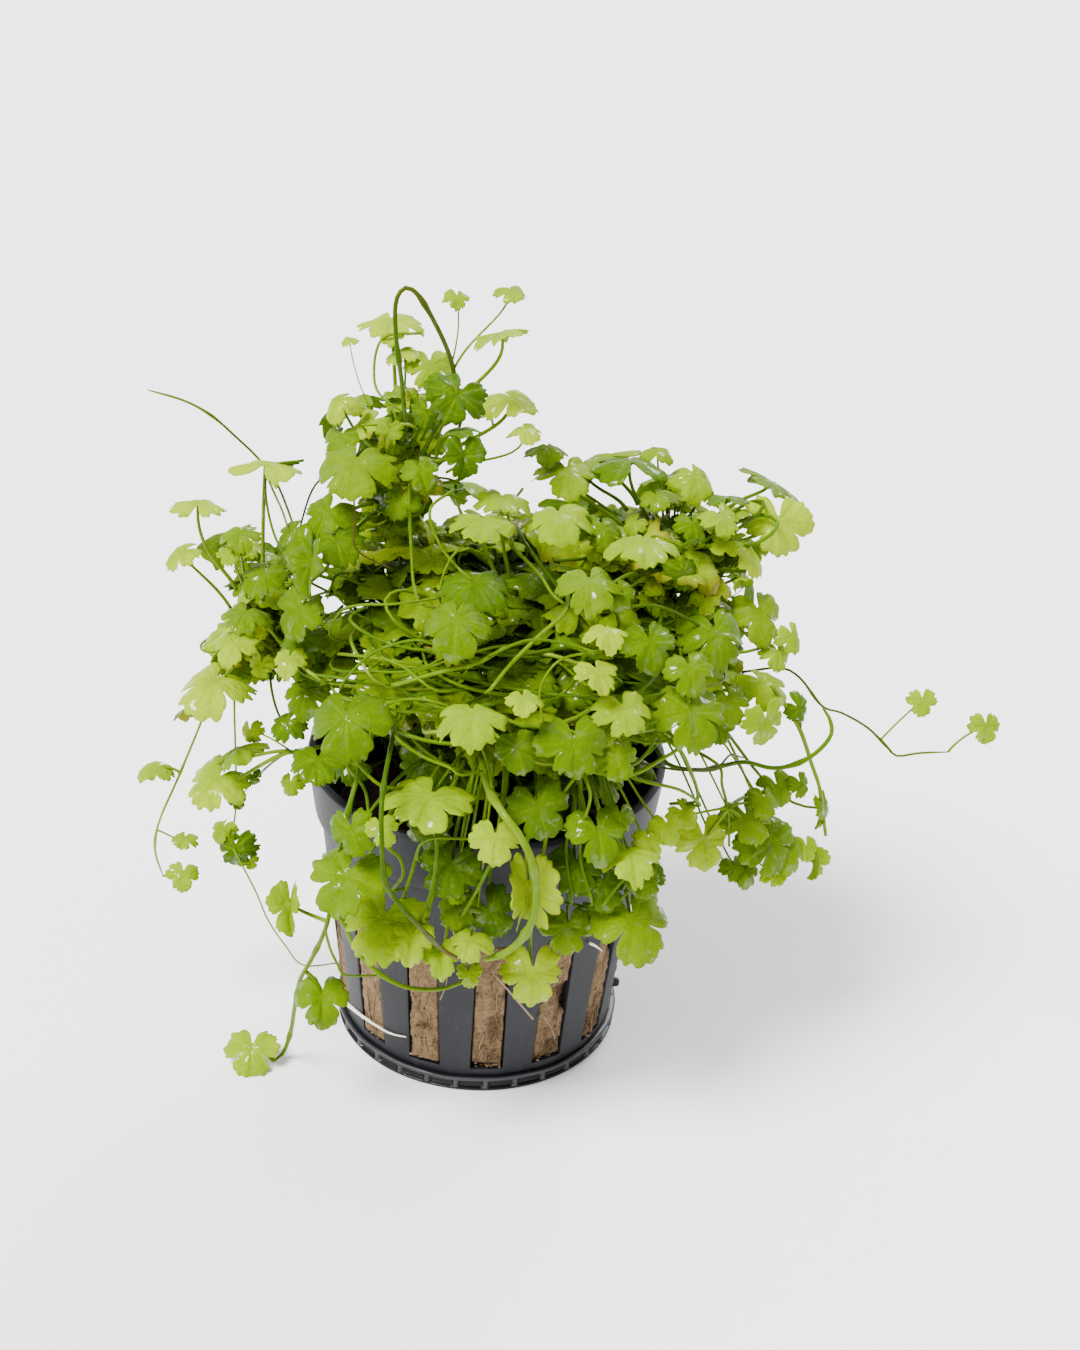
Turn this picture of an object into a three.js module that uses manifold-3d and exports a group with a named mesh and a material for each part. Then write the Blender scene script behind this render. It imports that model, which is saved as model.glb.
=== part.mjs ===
// A potted Hydrocotyle tripartita: a small aquarium plant with three-lobed leaves on thin creeping
// stems, growing out of a slotted net pot that is packed with coir.
// Millimetres, +Z up. The origin is the middle of the pot's underside, and the viewer looks along +Y.

import * as THREE from "three";
import { mergeVertices } from "three/addons/utils/BufferGeometryUtils.js";
import Module from "manifold-3d";

const wasm = await Module();
wasm.setup();

// Driving dimensions of the pot and its plug
const POT_HEIGHT = 46;
const RIM_RADIUS = 26;
const BODY_TOP_RADIUS = 24.2;
const BODY_FOOT_RADIUS = 20.7;
const FOOT_RADIUS = 21.4;
const FOOT_HEIGHT = 2.4;
const BAND_TOP = 37;
const COLLAR_STEP = 0.8;
const WALL = 1.3;
const FLOOR = 1.5;
const SLOTS = 14;
const SLOT_BOTTOM = 3.6;
const SLOT_TOP = 27.5;
const SLOT_WIDTH = 4.8;
const FIRST_SLOT = 6.8;
const FOOT_CELLS = 30;
const FIRST_CELL = 12.7;
const CELL_WIDTH = 3.7;
const CELL_DEPTH = 0.6;
const CELL_EDGE = 0.5;
const DRAIN_SLOTS = 8;
const PLUG_TOP = 36;
const GAP = 0.4;

// Driving dimensions of the plant
const BLADE_THICKNESS = 0.7;
const PETIOLE_RADIUS = 0.38;
const THREAD_RADIUS = 0.3;
const RUNNER_RADIUS = 0.42;
const OLD_RUNNER_RADIUS = 0.62;
const CUP = 0.16;

// The view that the leaves were placed from: a pixel of the 1080 by 1350 photograph and a distance
// behind the pot's axis (y, millimetres) give one point in space
const VIEW = {
  width: 1080,
  height: 1350,
  focalPixels: 2105,
  distance: 300,
  elevation: THREE.MathUtils.degToRad(29),
  roll: THREE.MathUtils.degToRad(3.3),
  target: new THREE.Vector3(7, 0, 58.7),
};

const UP = new THREE.Vector3(0, 0, 1);

function viewAxes() {
  const back = new THREE.Vector3(0, -Math.cos(VIEW.elevation), Math.sin(VIEW.elevation));
  const right = new THREE.Vector3(1, 0, 0);
  const up = back.clone().cross(right);
  right.applyAxisAngle(back, VIEW.roll);
  up.applyAxisAngle(back, VIEW.roll);
  return { back, right, up };
}

const AXES = viewAxes();
const EYE = VIEW.target.clone().addScaledVector(AXES.back, VIEW.distance);

function seen([px, py, y]) {
  const ray = AXES.back.clone().multiplyScalar(-VIEW.focalPixels);
  ray.addScaledVector(AXES.right, px - VIEW.width / 2);
  ray.addScaledVector(AXES.up, VIEW.height / 2 - py);
  return EYE.clone().addScaledVector(ray, (y - EYE.y) / ray.y);
}

// Solids that are joined or cut

function solid(geometry) {
  const bare = geometry.clone();
  bare.deleteAttribute("normal");
  bare.deleteAttribute("uv");
  const merged = mergeVertices(bare, 1e-4);
  return new wasm.Manifold(new wasm.Mesh({
    numProp: 3,
    vertProperties: new Float32Array(merged.attributes.position.array),
    triVerts: new Uint32Array(merged.index.array),
  }));
}

function geometryOf(manifold) {
  const mesh = manifold.getMesh();
  const geometry = new THREE.BufferGeometry();
  geometry.setAttribute("position", new THREE.BufferAttribute(mesh.vertProperties, 3));
  geometry.setIndex(new THREE.BufferAttribute(mesh.triVerts, 1));
  geometry.computeVertexNormals();
  return geometry;
}

function lathe(profile, segments) {
  const points = profile.map(([r, z]) => new THREE.Vector2(r, z));
  return new THREE.LatheGeometry(points, segments).rotateX(Math.PI / 2);
}

function tube(points, radius, steps, sides = 4) {
  const section = new THREE.Shape();
  for (let i = 0; i < sides; i += 1) {
    const angle = (2 * Math.PI * i) / sides;
    const [x, y] = [radius * Math.cos(angle), radius * Math.sin(angle)];
    if (i === 0) section.moveTo(x, y);
    else section.lineTo(x, y);
  }
  section.closePath();
  const path = new THREE.CatmullRomCurve3(points);
  return new THREE.ExtrudeGeometry(section, { extrudePath: path, steps, bevelEnabled: false });
}

// The net pot: one moulding, cut by its slots, the cells of its foot ring and the drain slots

function aroundAxis(geometry, degrees) {
  return geometry.rotateZ(THREE.MathUtils.degToRad(degrees));
}

function potGeometry() {
  const insideTop = BODY_TOP_RADIUS - WALL;
  const insideFoot = BODY_FOOT_RADIUS - WALL;
  const faceTurn = FIRST_CELL - 180 / FOOT_CELLS;
  let pot = solid(aroundAxis(lathe([
    [0, 0],
    [FOOT_RADIUS, 0],
    [FOOT_RADIUS, FOOT_HEIGHT],
    [BODY_FOOT_RADIUS, FOOT_HEIGHT + 0.4],
    [BODY_TOP_RADIUS, BAND_TOP],
    [BODY_TOP_RADIUS + COLLAR_STEP, BAND_TOP + 0.6],
    [RIM_RADIUS, POT_HEIGHT - 1],
    [RIM_RADIUS, POT_HEIGHT],
    [RIM_RADIUS - WALL, POT_HEIGHT],
    [insideTop + 0.4, BAND_TOP + 0.8],
    [insideTop, BAND_TOP - 0.2],
    [insideFoot, FLOOR],
    [0, FLOOR],
  ], FOOT_CELLS), faceTurn));
  const slotHeight = SLOT_TOP - SLOT_BOTTOM;
  for (let i = 0; i < SLOTS; i += 1) {
    const slot = new THREE.BoxGeometry(SLOT_WIDTH, 8, slotHeight);
    slot.translate(0, -BODY_FOOT_RADIUS - 1, SLOT_BOTTOM + slotHeight / 2);
    pot = pot.subtract(solid(aroundAxis(slot, FIRST_SLOT + (360 * i) / SLOTS)));
  }
  for (let i = 0; i < FOOT_CELLS; i += 1) {
    const cell = new THREE.BoxGeometry(CELL_WIDTH, 2 * CELL_DEPTH, FOOT_HEIGHT - 2 * CELL_EDGE);
    cell.translate(0, -FOOT_RADIUS, FOOT_HEIGHT / 2);
    pot = pot.subtract(solid(aroundAxis(cell, FIRST_CELL + (360 * i) / FOOT_CELLS)));
  }
  for (let i = 0; i < DRAIN_SLOTS; i += 1) {
    const drain = new THREE.BoxGeometry(2.4, 8, 3 * FLOOR);
    drain.translate(0, -11.5, FLOOR / 2);
    pot = pot.subtract(solid(aroundAxis(drain, (360 * i) / DRAIN_SLOTS)));
  }
  return geometryOf(pot);
}

// The growing plug: coir packed in the pot, a little lumpy on top

function plugGeometry() {
  const top = BODY_TOP_RADIUS - WALL - GAP - 0.1;
  const foot = BODY_FOOT_RADIUS - WALL - GAP;
  const plug = lathe([
    [0, FLOOR + GAP],
    [foot, FLOOR + GAP],
    [(foot + top) / 2, (FLOOR + PLUG_TOP) / 2],
    [top, PLUG_TOP - 2],
    [top - 2, PLUG_TOP - 0.4],
    [12, PLUG_TOP],
    [0, PLUG_TOP - 0.6],
  ], 20);
  return geometryOf(solid(plug));
}

// Masses of small leaves: a lumpy ball for each, which reaches the small leaves' tips.
// The lumps come from three slow waves over the ball's directions. A hollow is pressed in round one
// direction. Each mass has some larger leaves on its far side, which rise to the given lift.

const MASSES = {
  mound: {
    centre: [4, 2, 65],
    radii: [33, 29, 15.5],
    lumps: 0.4,
    detail: 3,
    leaves: 9,
    rise: 34,
    hollow: { turn: -8, lift: 31, spread: 0.55, depth: 8 },
  },
  spire: { centre: [-14, 6, 87], radii: [9, 8, 13], lumps: 1.9, detail: 2, leaves: 3, rise: 40 },
  left_shoulder: { centre: [-33, 2, 65], radii: [8, 12, 12], lumps: 3.1, detail: 2, leaves: 3, rise: 50 },
  right_shoulder: { centre: [24, 6, 78], radii: [16, 14, 8], lumps: 4.6, detail: 2, leaves: 4, rise: 58 },
};
const BACK_LEAF_WIDTH = 11;
const BACK_LEAF_STALK = 4;

function hollowDepth(hollow, way) {
  if (!hollow) return 0;
  const angle = way.angleTo(direction(hollow.turn, hollow.lift));
  return hollow.depth * Math.exp(-((angle / hollow.spread) ** 2));
}

function lumpyBall({ centre, radii, lumps, detail, hollow }, margin = 0) {
  const ball = new THREE.IcosahedronGeometry(1, detail);
  ball.deleteAttribute("normal");
  ball.deleteAttribute("uv");
  const merged = mergeVertices(ball, 1e-4);
  const place = merged.attributes.position;
  const way = new THREE.Vector3();
  for (let i = 0; i < place.count; i += 1) {
    way.fromBufferAttribute(place, i).normalize();
    const wave = Math.sin(5 * way.x + lumps) + Math.sin(6 * way.y + 2 * lumps)
      + Math.sin(7 * way.z + 3 * lumps);
    const size = 1 + 0.04 * wave;
    const grown = margin - hollowDepth(hollow, way);
    place.setXYZ(
      i,
      centre[0] + way.x * (radii[0] * size + grown),
      centre[1] + way.y * (radii[1] * size + grown),
      centre[2] + way.z * (radii[2] * size + grown),
    );
  }
  return merged;
}

// The stems that rise from the plug into the mound, as one bundle
function stemBundle(margin = 0) {
  return lathe([
    [0, PLUG_TOP + GAP - margin],
    [12 + margin, PLUG_TOP + GAP - margin],
    [14 + margin, 46],
    [19 + margin, 54],
    [0, 54],
  ], 12);
}

// Larger leaves on the far side of a mass, spread by the golden angle and fused with it
function backLeaves({ centre, radii, leaves, rise }) {
  const middle = new THREE.Vector3(...centre);
  const solids = [];
  for (let i = 0; i < leaves; i += 1) {
    const turn = 180 + 62 * Math.sin(2.4 * i);
    const lift = (rise * (i + 0.5)) / leaves;
    const outward = direction(turn, lift);
    const reach = outward.clone().multiply(new THREE.Vector3(...radii));
    const place = middle.clone().add(reach).addScaledVector(outward, BACK_LEAF_STALK);
    const root = middle.clone().addScaledVector(reach, 0.6);
    solids.push(solid(leafGeometry({ place, width: BACK_LEAF_WIDTH, turn, lift: lift + 25, root })));
  }
  return solids;
}

// A mass gives way to the masses before it, and its leaves to all the others
function massSolids() {
  const names = Object.keys(MASSES);
  const room = {};
  const parts = {};
  for (const name of names) {
    room[name] = solid(lumpyBall(MASSES[name], GAP));
    parts[name] = solid(lumpyBall(MASSES[name]));
  }
  room.mound = room.mound.add(solid(stemBundle(GAP)));
  parts.mound = parts.mound.add(solid(stemBundle()));
  names.forEach((name, i) => {
    for (const before of names.slice(0, i)) parts[name] = parts[name].subtract(room[before]);
    for (let leaf of backLeaves(MASSES[name])) {
      for (const other of names) {
        if (other !== name) leaf = leaf.subtract(room[other]);
      }
      parts[name] = parts[name].add(leaf);
    }
  });
  const taken = names.map((name) => room[name]).reduce((all, one) => all.add(one));
  return { parts, taken };
}

// One leaf: a thin blade of three deeply cut lobes with round teeth, on a petiole that meets it from
// below. The outline is given for one half as degrees from the middle lobe's tip and a share of the
// blade's radius, and is mirrored for the other half.

const HALF_OUTLINE = [
  [18, 0.94], [37, 0.92], [45, 0.48], [54, 0.9], [78, 1], [102, 0.82], [124, 0.98], [155, 0.86],
  [170, 0.35],
];

function bladeOutline() {
  const right = HALF_OUTLINE.map(([degrees, share]) => [-degrees, share]).reverse();
  return [...right, [0, 1], ...HALF_OUTLINE];
}

function direction(turn, lift) {
  const [a, b] = [THREE.MathUtils.degToRad(turn), THREE.MathUtils.degToRad(lift)];
  return new THREE.Vector3(Math.sin(a) * Math.cos(b), -Math.cos(a) * Math.cos(b), Math.sin(b));
}

// turn and lift give the way that the blade's upper face looks: turn 0 is towards the viewer and 90 to
// the right, lift 90 is straight up. spin turns the middle lobe away from pointing downhill.
// A leaf that hangs outside the pot has its petiole go up behind the blade first, and in over the rim.
function leafGeometry({ place, width, turn, lift, spin = 0, root, hangs = false }) {
  const normal = direction(turn, lift);
  const downhill = UP.clone().negate().projectOnPlane(normal);
  if (downhill.length() < 0.05) downhill.copy(direction(turn, 0));
  downhill.normalize();
  const tip = downhill.clone().applyAxisAngle(normal, THREE.MathUtils.degToRad(spin));
  const side = normal.clone().cross(tip);
  const radius = width / 2;
  const points = [];
  const faces = [];

  const outline = bladeOutline();
  for (const [degrees, share] of outline) {
    const angle = THREE.MathUtils.degToRad(degrees);
    const reach = radius * share;
    points.push(place.clone()
      .addScaledVector(tip, reach * Math.cos(angle))
      .addScaledVector(side, reach * Math.sin(angle))
      .addScaledVector(normal, CUP * radius * share * share));
  }
  const top = points.length;
  const thickness = Math.min(BLADE_THICKNESS, 0.08 * width);
  points.push(place.clone().addScaledVector(normal, thickness / 2));

  const stalk = Math.min(PETIOLE_RADIUS, 0.06 * width);
  const start = place.clone().addScaledVector(normal, -thickness / 2);
  const length = start.distanceTo(root);
  const outward = new THREE.Vector3(place.x, place.y, 0).normalize();
  const below = start.clone().addScaledVector(normal, -0.35 * length);
  const arch = start.clone().lerp(root, 0.7).addScaledVector(UP, 0.1 * length);
  const hook = place.clone().addScaledVector(normal, -1.6).addScaledVector(downhill, -0.15 * radius);
  const behind = place.clone().addScaledVector(normal, -1.2).addScaledVector(downhill, -1.1 * radius);
  const overRim = root.clone().addScaledVector(UP, 1).addScaledVector(outward, 0.4 * length);
  const path = hangs
    ? new THREE.CatmullRomCurve3([start, hook, behind, overRim, root])
    : new THREE.CubicBezierCurve3(start, below, arch, root);
  const rings = hangs ? 8 : Math.max(3, Math.min(6, Math.round(length / 5)));
  const across = tip.clone();
  const ring = [];
  for (let k = 0; k <= rings; k += 1) {
    const middle = path.getPoint(k / rings);
    const along = path.getTangent(k / rings);
    across.projectOnPlane(along).normalize();
    const other = across.clone().cross(along);
    ring.push(points.length);
    for (let corner = 0; corner < 4; corner += 1) {
      const angle = (Math.PI / 2) * corner + Math.PI / 4;
      points.push(middle.clone()
        .addScaledVector(across, stalk * Math.cos(angle))
        .addScaledVector(other, stalk * Math.sin(angle)));
    }
  }

  const cornerNear = (i) => {
    const degrees = (outline[i][0] + outline[(i + 1) % outline.length][0]) / 2;
    const middle = i === outline.length - 1 ? 180 : degrees;
    return ((Math.round((middle - 45) / 90) % 4) + 4) % 4;
  };
  outline.forEach((_, i) => {
    const next = (i + 1) % outline.length;
    faces.push(top, i, next);
    faces.push(next, i, ring[0] + cornerNear(i));
    if (cornerNear(next) !== cornerNear(i)) {
      faces.push(next, ring[0] + cornerNear(i), ring[0] + cornerNear(next));
    }
  });
  for (let k = 0; k < rings; k += 1) {
    for (let corner = 0; corner < 4; corner += 1) {
      const next = (corner + 1) % 4;
      const [a, b] = [ring[k] + corner, ring[k] + next];
      const [c, d] = [ring[k + 1] + corner, ring[k + 1] + next];
      faces.push(a, c, b, b, c, d);
    }
  }
  const end = ring[rings];
  faces.push(end, end + 2, end + 1, end, end + 3, end + 2);

  const geometry = new THREE.BufferGeometry();
  geometry.setAttribute("position", new THREE.Float32BufferAttribute(points.flatMap((p) => p.toArray()), 3));
  geometry.setIndex(faces);
  return geometry;
}

// Where a leaf's petiole comes from: a point inside the mass that carries it, above the rim
const RIM_CLEAR = POT_HEIGHT + 10;

function insideMass(name, place) {
  const centre = new THREE.Vector3(...MASSES[name].centre);
  const root = place.clone().lerp(centre, 0.62).addScaledVector(UP, -3);
  if (place.z < RIM_CLEAR) {
    root.copy(place).lerp(centre, 0.4);
    root.z = RIM_CLEAR;
  }
  return root;
}

// Runners: [pixel across, pixel down, y] along each, and the small leaves that are fused with it, each
// [pixel across, pixel down, y, width, turn, lift, share of the runner's length where it grows].
// A side shoot names the runner that carries it.

const RUNNERS = {
  runner_tall_arch: {
    radius: RUNNER_RADIUS,
    route: [
      [406, 430, 0], [402, 385, 0], [396, 335, 0], [396, 302, 1], [405, 288, 2], [418, 295, 2],
      [436, 325, 3], [450, 357, 3], [459, 395, 3],
    ],
    leaves: [
      [511, 290, 7, 5.2, 20, 84, 0.92], [457, 297, 7, 3.8, 10, 60, 0.9],
    ],
  },
  runner_bare_tip: {
    radius: THREAD_RADIUS,
    route: [
      [300, 548, -6], [288, 510, 0], [274, 478, 7], [256, 456, 9], [236, 437, 8], [212, 416, 6],
      [185, 401, 5], [148, 390, 4],
    ],
    leaves: [],
  },
  runner_left_thread: {
    radius: THREAD_RADIUS,
    route: [
      [240, 668, 0], [214, 690, -1], [198, 730, -2], [178, 778, -3], [159, 822, -3], [155, 850, -3],
      [163, 876, -3],
    ],
    leaves: [
      [155, 767, -3.5, 6, -40, 80, 0.5], [184, 838, -4, 4.4, -10, 80, 0.8],
      [183, 873, -4, 5.2, 0, 60, 1],
    ],
  },
  runner_lower_left: {
    radius: RUNNER_RADIUS,
    route: [
      [385, 700, -15], [364, 757, -26], [350, 804, -31], [340, 850, -32], [332, 900, -30], [325, 930, -29],
      [312, 958, -27], [300, 980, -24.5], [295, 1005, -22], [291, 1030, -18.5], [284, 1051, -16.6],
      [274, 1061, -18.2],
    ],
    leaves: [],
  },
  runner_front_arc: {
    radius: RUNNER_RADIUS,
    carrier: "runner_lower_left",
    route: [
      [330, 905, -30], [343, 922, -30], [353, 945, -29], [366, 962, -28.5], [386, 978, -28],
      [410, 988, -28], [440, 989, -28], [466, 981, -28.5],
    ],
    leaves: [],
  },
  runner_front_curl: {
    radius: OLD_RUNNER_RADIUS,
    route: [
      [480, 748, -19], [487, 785, -30], [502, 812, -36], [520, 836, -38], [532, 862, -38],
      [536, 892, -37], [533, 918, -36], [521, 940, -34], [503, 954, -33], [484, 960, -32],
    ],
    leaves: [],
  },
  runner_front_brown: {
    radius: RUNNER_RADIUS,
    route: [
      [400, 705, -15], [389, 756, -28], [382, 800, -37], [382, 850, -41], [386, 884, -41], [400, 905, -41],
      [416, 923, -40], [432, 940, -38], [446, 952, -36], [470, 965, -33],
    ],
    leaves: [],
  },
  runner_right_trail: {
    radius: THREAD_RADIUS,
    route: [
      [742, 672, 2], [780, 668, 0], [800, 678, -1], [822, 706, -2], [842, 713, -2], [868, 728, -2],
      [888, 748, -2], [897, 756, -2], [920, 753, -2], [948, 752, -2],
    ],
    leaves: [
      [922, 700, -2, 4.6, 0, 35, 0.7], [986, 726, -2, 5.2, 10, 35, 1],
    ],
  },
  runner_right_loop: {
    radius: RUNNER_RADIUS,
    route: [
      [650, 737, -13], [668, 764, -16], [700, 770, -15], [722, 766, -13], [745, 762, -12], [772, 768, -11],
      [796, 764, -10], [817, 752, -9], [831, 735, -7], [830, 720, -5], [823, 708, -3],
    ],
    leaves: [],
  },
};

function runnerPath(route) {
  return new THREE.CatmullRomCurve3(route.map(seen));
}

function nearestOn(path, place) {
  const points = path.getSpacedPoints(60);
  return points.reduce((best, p) => (p.distanceTo(place) < best.distanceTo(place) ? p : best));
}

function runnerSolid({ radius, route, leaves }, margin = 0) {
  const path = runnerPath(route);
  const steps = Math.round(path.getLength() / 4.2);
  let runner = solid(tube(route.map(seen), radius + margin, steps));
  for (const [px, py, y, width, turn, lift, share] of leaves) {
    const root = path.getPointAt(share);
    const leaf = { place: seen([px, py, y]), width, turn, lift, root };
    runner = runner.add(solid(leafGeometry(leaf)));
  }
  return runner;
}

// Leaves: name, [pixel across, pixel down, y] of the blade's middle, width, turn, lift, spin, and the
// mass or runner that its petiole grows from

const LEAVES = [
  ["leaf_spire_1", [391, 320, 12], 9.6, -20, 86, 20, "spire"],
  ["leaf_spire_2", [501, 333, 0.5], 8.8, -120, 68, 30, "spire"],
  ["leaf_spire_3", [430, 364, 7.5], 8.2, 10, 55, 0, "spire"],
  ["leaf_spire_4", [340, 400, 4], 7.2, -40, 62, 0, "spire"],
  ["leaf_spire_5", [512, 397, 5], 8.6, 20, 84, 20, "spire"],
  ["leaf_spire_6", [457, 395, -4], 8.4, 10, 48, -30, "spire"],
  ["leaf_spire_7", [355, 463, -6], 12.2, -25, 62, 15, "spire"],
  ["leaf_spire_8", [464, 455, -9], 7, 20, 14, 0, "spire"],
  ["leaf_left_1", [265, 463, 1], 11, 175, 80, 0, "left_shoulder"],
  ["leaf_left_2", [198, 503, 2], 8.8, 180, 84, 0, "left_shoulder"],
  ["leaf_left_3", [180, 552, 0], 6.8, -60, 62, 0, "left_shoulder"],
  ["leaf_left_4", [240, 533, -8], 6.4, -20, 74, 20, "left_shoulder"],
  ["leaf_left_5", [312, 562, -14], 11.5, -45, 20, 10, "left_shoulder"],
  ["leaf_left_6", [234, 643, -14], 6.8, -20, 55, 0, "left_shoulder"],
  ["leaf_left_7", [214, 680, -10], 12.5, -30, 82, 10, "left_shoulder"],
  ["leaf_left_8", [216, 779, -13], 9.4, -20, 66, -15, "left_shoulder"],
  ["leaf_left_9", [235, 848, -2], 7.2, -10, 18, 0, "left_shoulder"],
  ["leaf_trail_1", [290, 905, -28], 9, -30, 35, 20, "runner_lower_left"],
  ["leaf_trail_2", [322, 997, -28], 10.4, 8, 50, 0, "runner_lower_left"],
  ["leaf_trail_3", [252, 1048, -18], 9, -10, 62, 10, "runner_lower_left"],
  ["leaf_front_1", [346, 718, -28], 12, -15, 55, 15, "mound"],
  ["leaf_front_2", [430, 797, -31], 13, -5, 82, -10, "mound"],
  ["leaf_front_3", [347, 876, -36.5], 12.4, -20, 58, 0, "mound"],
  ["leaf_front_4", [384, 918, -31.5], 13, -10, 68, 0, "mound"],
  ["leaf_front_5", [528, 890, -30.4], 14.5, 15, 10, 0, "mound"],
  ["leaf_front_6", [634, 920, -30], 12.4, 15, 50, 10, "mound"],
  ["leaf_front_7", [533, 973, -29.5], 9.4, 5, 32, 0, "mound"],
  ["leaf_front_8", [598, 832, -33], 9, 20, 55, 0, "mound"],
  ["leaf_middle_1", [457, 621, -26], 11.6, -5, 55, 0, "mound"],
  ["leaf_middle_2", [574, 742, -33], 10, 10, 48, 0, "mound"],
  ["leaf_middle_3", [472, 713, -33], 10.2, -5, 80, 10, "mound"],
  ["leaf_middle_4", [590, 582, -18], 9.8, 10, 70, 0, "right_shoulder"],
  ["leaf_middle_5", [645, 541, -12], 10.2, 180, 88, 0, "right_shoulder"],
  ["leaf_middle_6", [482, 521, -14], 8.5, -10, 82, 10, "mound"],
  ["leaf_middle_7", [558, 514, -8], 10, 5, 82, 0, "right_shoulder"],
  ["leaf_right_1", [567, 470, 4], 9.8, 0, 80, 10, "right_shoulder"],
  ["leaf_right_2", [694, 475, 6], 9, 20, 68, 0, "right_shoulder"],
  ["leaf_right_3", [779, 522, 6], 10, 10, 38, 0, "right_shoulder"],
  ["leaf_right_4", [716, 633, -14], 11.2, 20, 55, 0, "right_shoulder"],
  ["leaf_right_5", [760, 613, -2], 9, 30, 42, 0, "right_shoulder"],
  ["leaf_right_6", [692, 712, -24], 11.2, 20, 48, 0, "mound"],
  ["leaf_right_7", [704, 840, -16.5], 8.8, 20, 26, 0, "mound"],
  ["leaf_right_8", [770, 845, -13], 10.2, 25, 40, 20, "mound"],
  ["leaf_right_9", [766, 722, -14], 7.4, 30, 14, 0, "mound"],
  ["leaf_right_10", [814, 862, -6], 6.4, 60, 8, 0, "mound"],
];

// Materials

function plant(hex, roughness) {
  return new THREE.MeshStandardMaterial({ color: hex, roughness, metalness: 0 });
}

const plastic = plant(0x34343c, 0.42);
const coir = plant(0x8a6a44, 0.95);
const smallLeaves = plant(0x6f9c1c, 0.5);
const stem = plant(0x8fb032, 0.45);
const blade = plant(0x98c41e, 0.38);

function named(name, geometry, material) {
  const mesh = new THREE.Mesh(geometry, material);
  mesh.name = name;
  return mesh;
}

// Assembly

const plantPot = new THREE.Group();
plantPot.add(named("pot", potGeometry(), plastic));
plantPot.add(named("coir_plug", plugGeometry(), coir));

const { parts: masses, taken } = massSolids();
for (const [name, mass] of Object.entries(masses)) {
  plantPot.add(named(`small_leaves_${name}`, geometryOf(mass), smallLeaves));
}

const runnerRoom = {};
for (const [name, runner] of Object.entries(RUNNERS)) {
  let free = runnerSolid(runner).subtract(taken);
  if (runner.carrier) free = free.subtract(runnerRoom[runner.carrier]);
  runnerRoom[name] = runnerSolid(runner, GAP);
  plantPot.add(named(name, geometryOf(free), stem));
}

for (const [name, pixels, width, turn, lift, spin, carrier] of LEAVES) {
  const place = seen(pixels);
  const onRunner = carrier.startsWith("runner");
  const root = onRunner
    ? nearestOn(runnerPath(RUNNERS[carrier].route), place)
    : insideMass(carrier, place);
  const hangs = !onRunner && place.z < RIM_CLEAR;
  let leaf = solid(leafGeometry({ place, width, turn, lift, spin, root, hangs })).subtract(taken);
  if (onRunner) leaf = leaf.subtract(runnerRoom[carrier]);
  plantPot.add(named(name, geometryOf(leaf), blade));
}

export default plantPot;
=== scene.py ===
# %% [markdown]
# # A potted Hydrocotyle tripartita
# This lesson grows a small aquarium plant around a fixed frame of plain solids: a slotted net pot, a coir
# plug, and leaves on thin stems. Each step says what the real thing is, how it could be made in Blender,
# and why it is made this way. Lengths are in metres, so millimetres are written as a number times MM.

# %% Load the frame
import math

import bpy
import numpy as np
from mathutils import Matrix, Vector


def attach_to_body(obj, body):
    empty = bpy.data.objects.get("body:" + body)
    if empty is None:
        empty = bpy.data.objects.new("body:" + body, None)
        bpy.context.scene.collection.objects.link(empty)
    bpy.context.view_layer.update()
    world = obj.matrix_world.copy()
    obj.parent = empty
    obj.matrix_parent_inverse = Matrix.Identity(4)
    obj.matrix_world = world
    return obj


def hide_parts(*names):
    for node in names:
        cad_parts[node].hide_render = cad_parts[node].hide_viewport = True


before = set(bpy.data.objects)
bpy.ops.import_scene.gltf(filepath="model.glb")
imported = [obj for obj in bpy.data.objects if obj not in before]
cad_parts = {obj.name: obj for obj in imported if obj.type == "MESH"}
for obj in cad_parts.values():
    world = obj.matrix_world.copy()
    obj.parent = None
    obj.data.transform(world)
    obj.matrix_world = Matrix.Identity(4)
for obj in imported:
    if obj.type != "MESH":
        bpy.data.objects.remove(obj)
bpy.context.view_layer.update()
MM = 0.001
UP = np.array([0.0, 0.0, 1.0])
SEED = 27
print("frame nodes:", len(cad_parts))

# %% [markdown]
# ## The view
# The plant is seen from 29 degrees above the shelf, slightly rolled. The camera comes first, because the
# places of the leaves are picked in this view: a pixel of a 1080 by 1350 frame and a distance behind the
# pot's axis give one point in space. So a wild shape with hundreds of parts can be laid out from pixels.

# %% Camera
VIEW_WIDTH, VIEW_HEIGHT = 1080, 1350
FOCAL_PIXELS = 2105
VIEW_DISTANCE = 300 * MM
ELEVATION = math.radians(29)
ROLL = math.radians(3.3)
TARGET = np.array([7.0, 0.0, 58.7]) * MM
SENSOR = 36.0


def turned(vector, axis, angle):
    """The vector turned about a unit axis by the right-hand rule."""
    across = np.cross(axis, vector)
    along = axis * np.dot(axis, vector) * (1 - math.cos(angle))
    return vector * math.cos(angle) + across * math.sin(angle) + along


view_back = np.array([0.0, -math.cos(ELEVATION), math.sin(ELEVATION)])
view_right = turned(np.array([1.0, 0.0, 0.0]), view_back, ROLL)
view_up = np.cross(view_back, view_right)
eye = TARGET + view_back * VIEW_DISTANCE


def sight(px, py):
    """The direction in which the eye sees a pixel."""
    return view_right * (px - VIEW_WIDTH / 2) + view_up * (VIEW_HEIGHT / 2 - py) - view_back * FOCAL_PIXELS


def seen(px, py, y):
    """The point at y millimetres behind the pot's axis that shows at a pixel of the view."""
    ray = sight(px, py)
    return eye + ray * (y * MM - eye[1]) / ray[1]


def new_object(name, data):
    """An object in the scene that shows the given data."""
    made = bpy.data.objects.new(name, data)
    bpy.context.scene.collection.objects.link(made)
    return made


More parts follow.
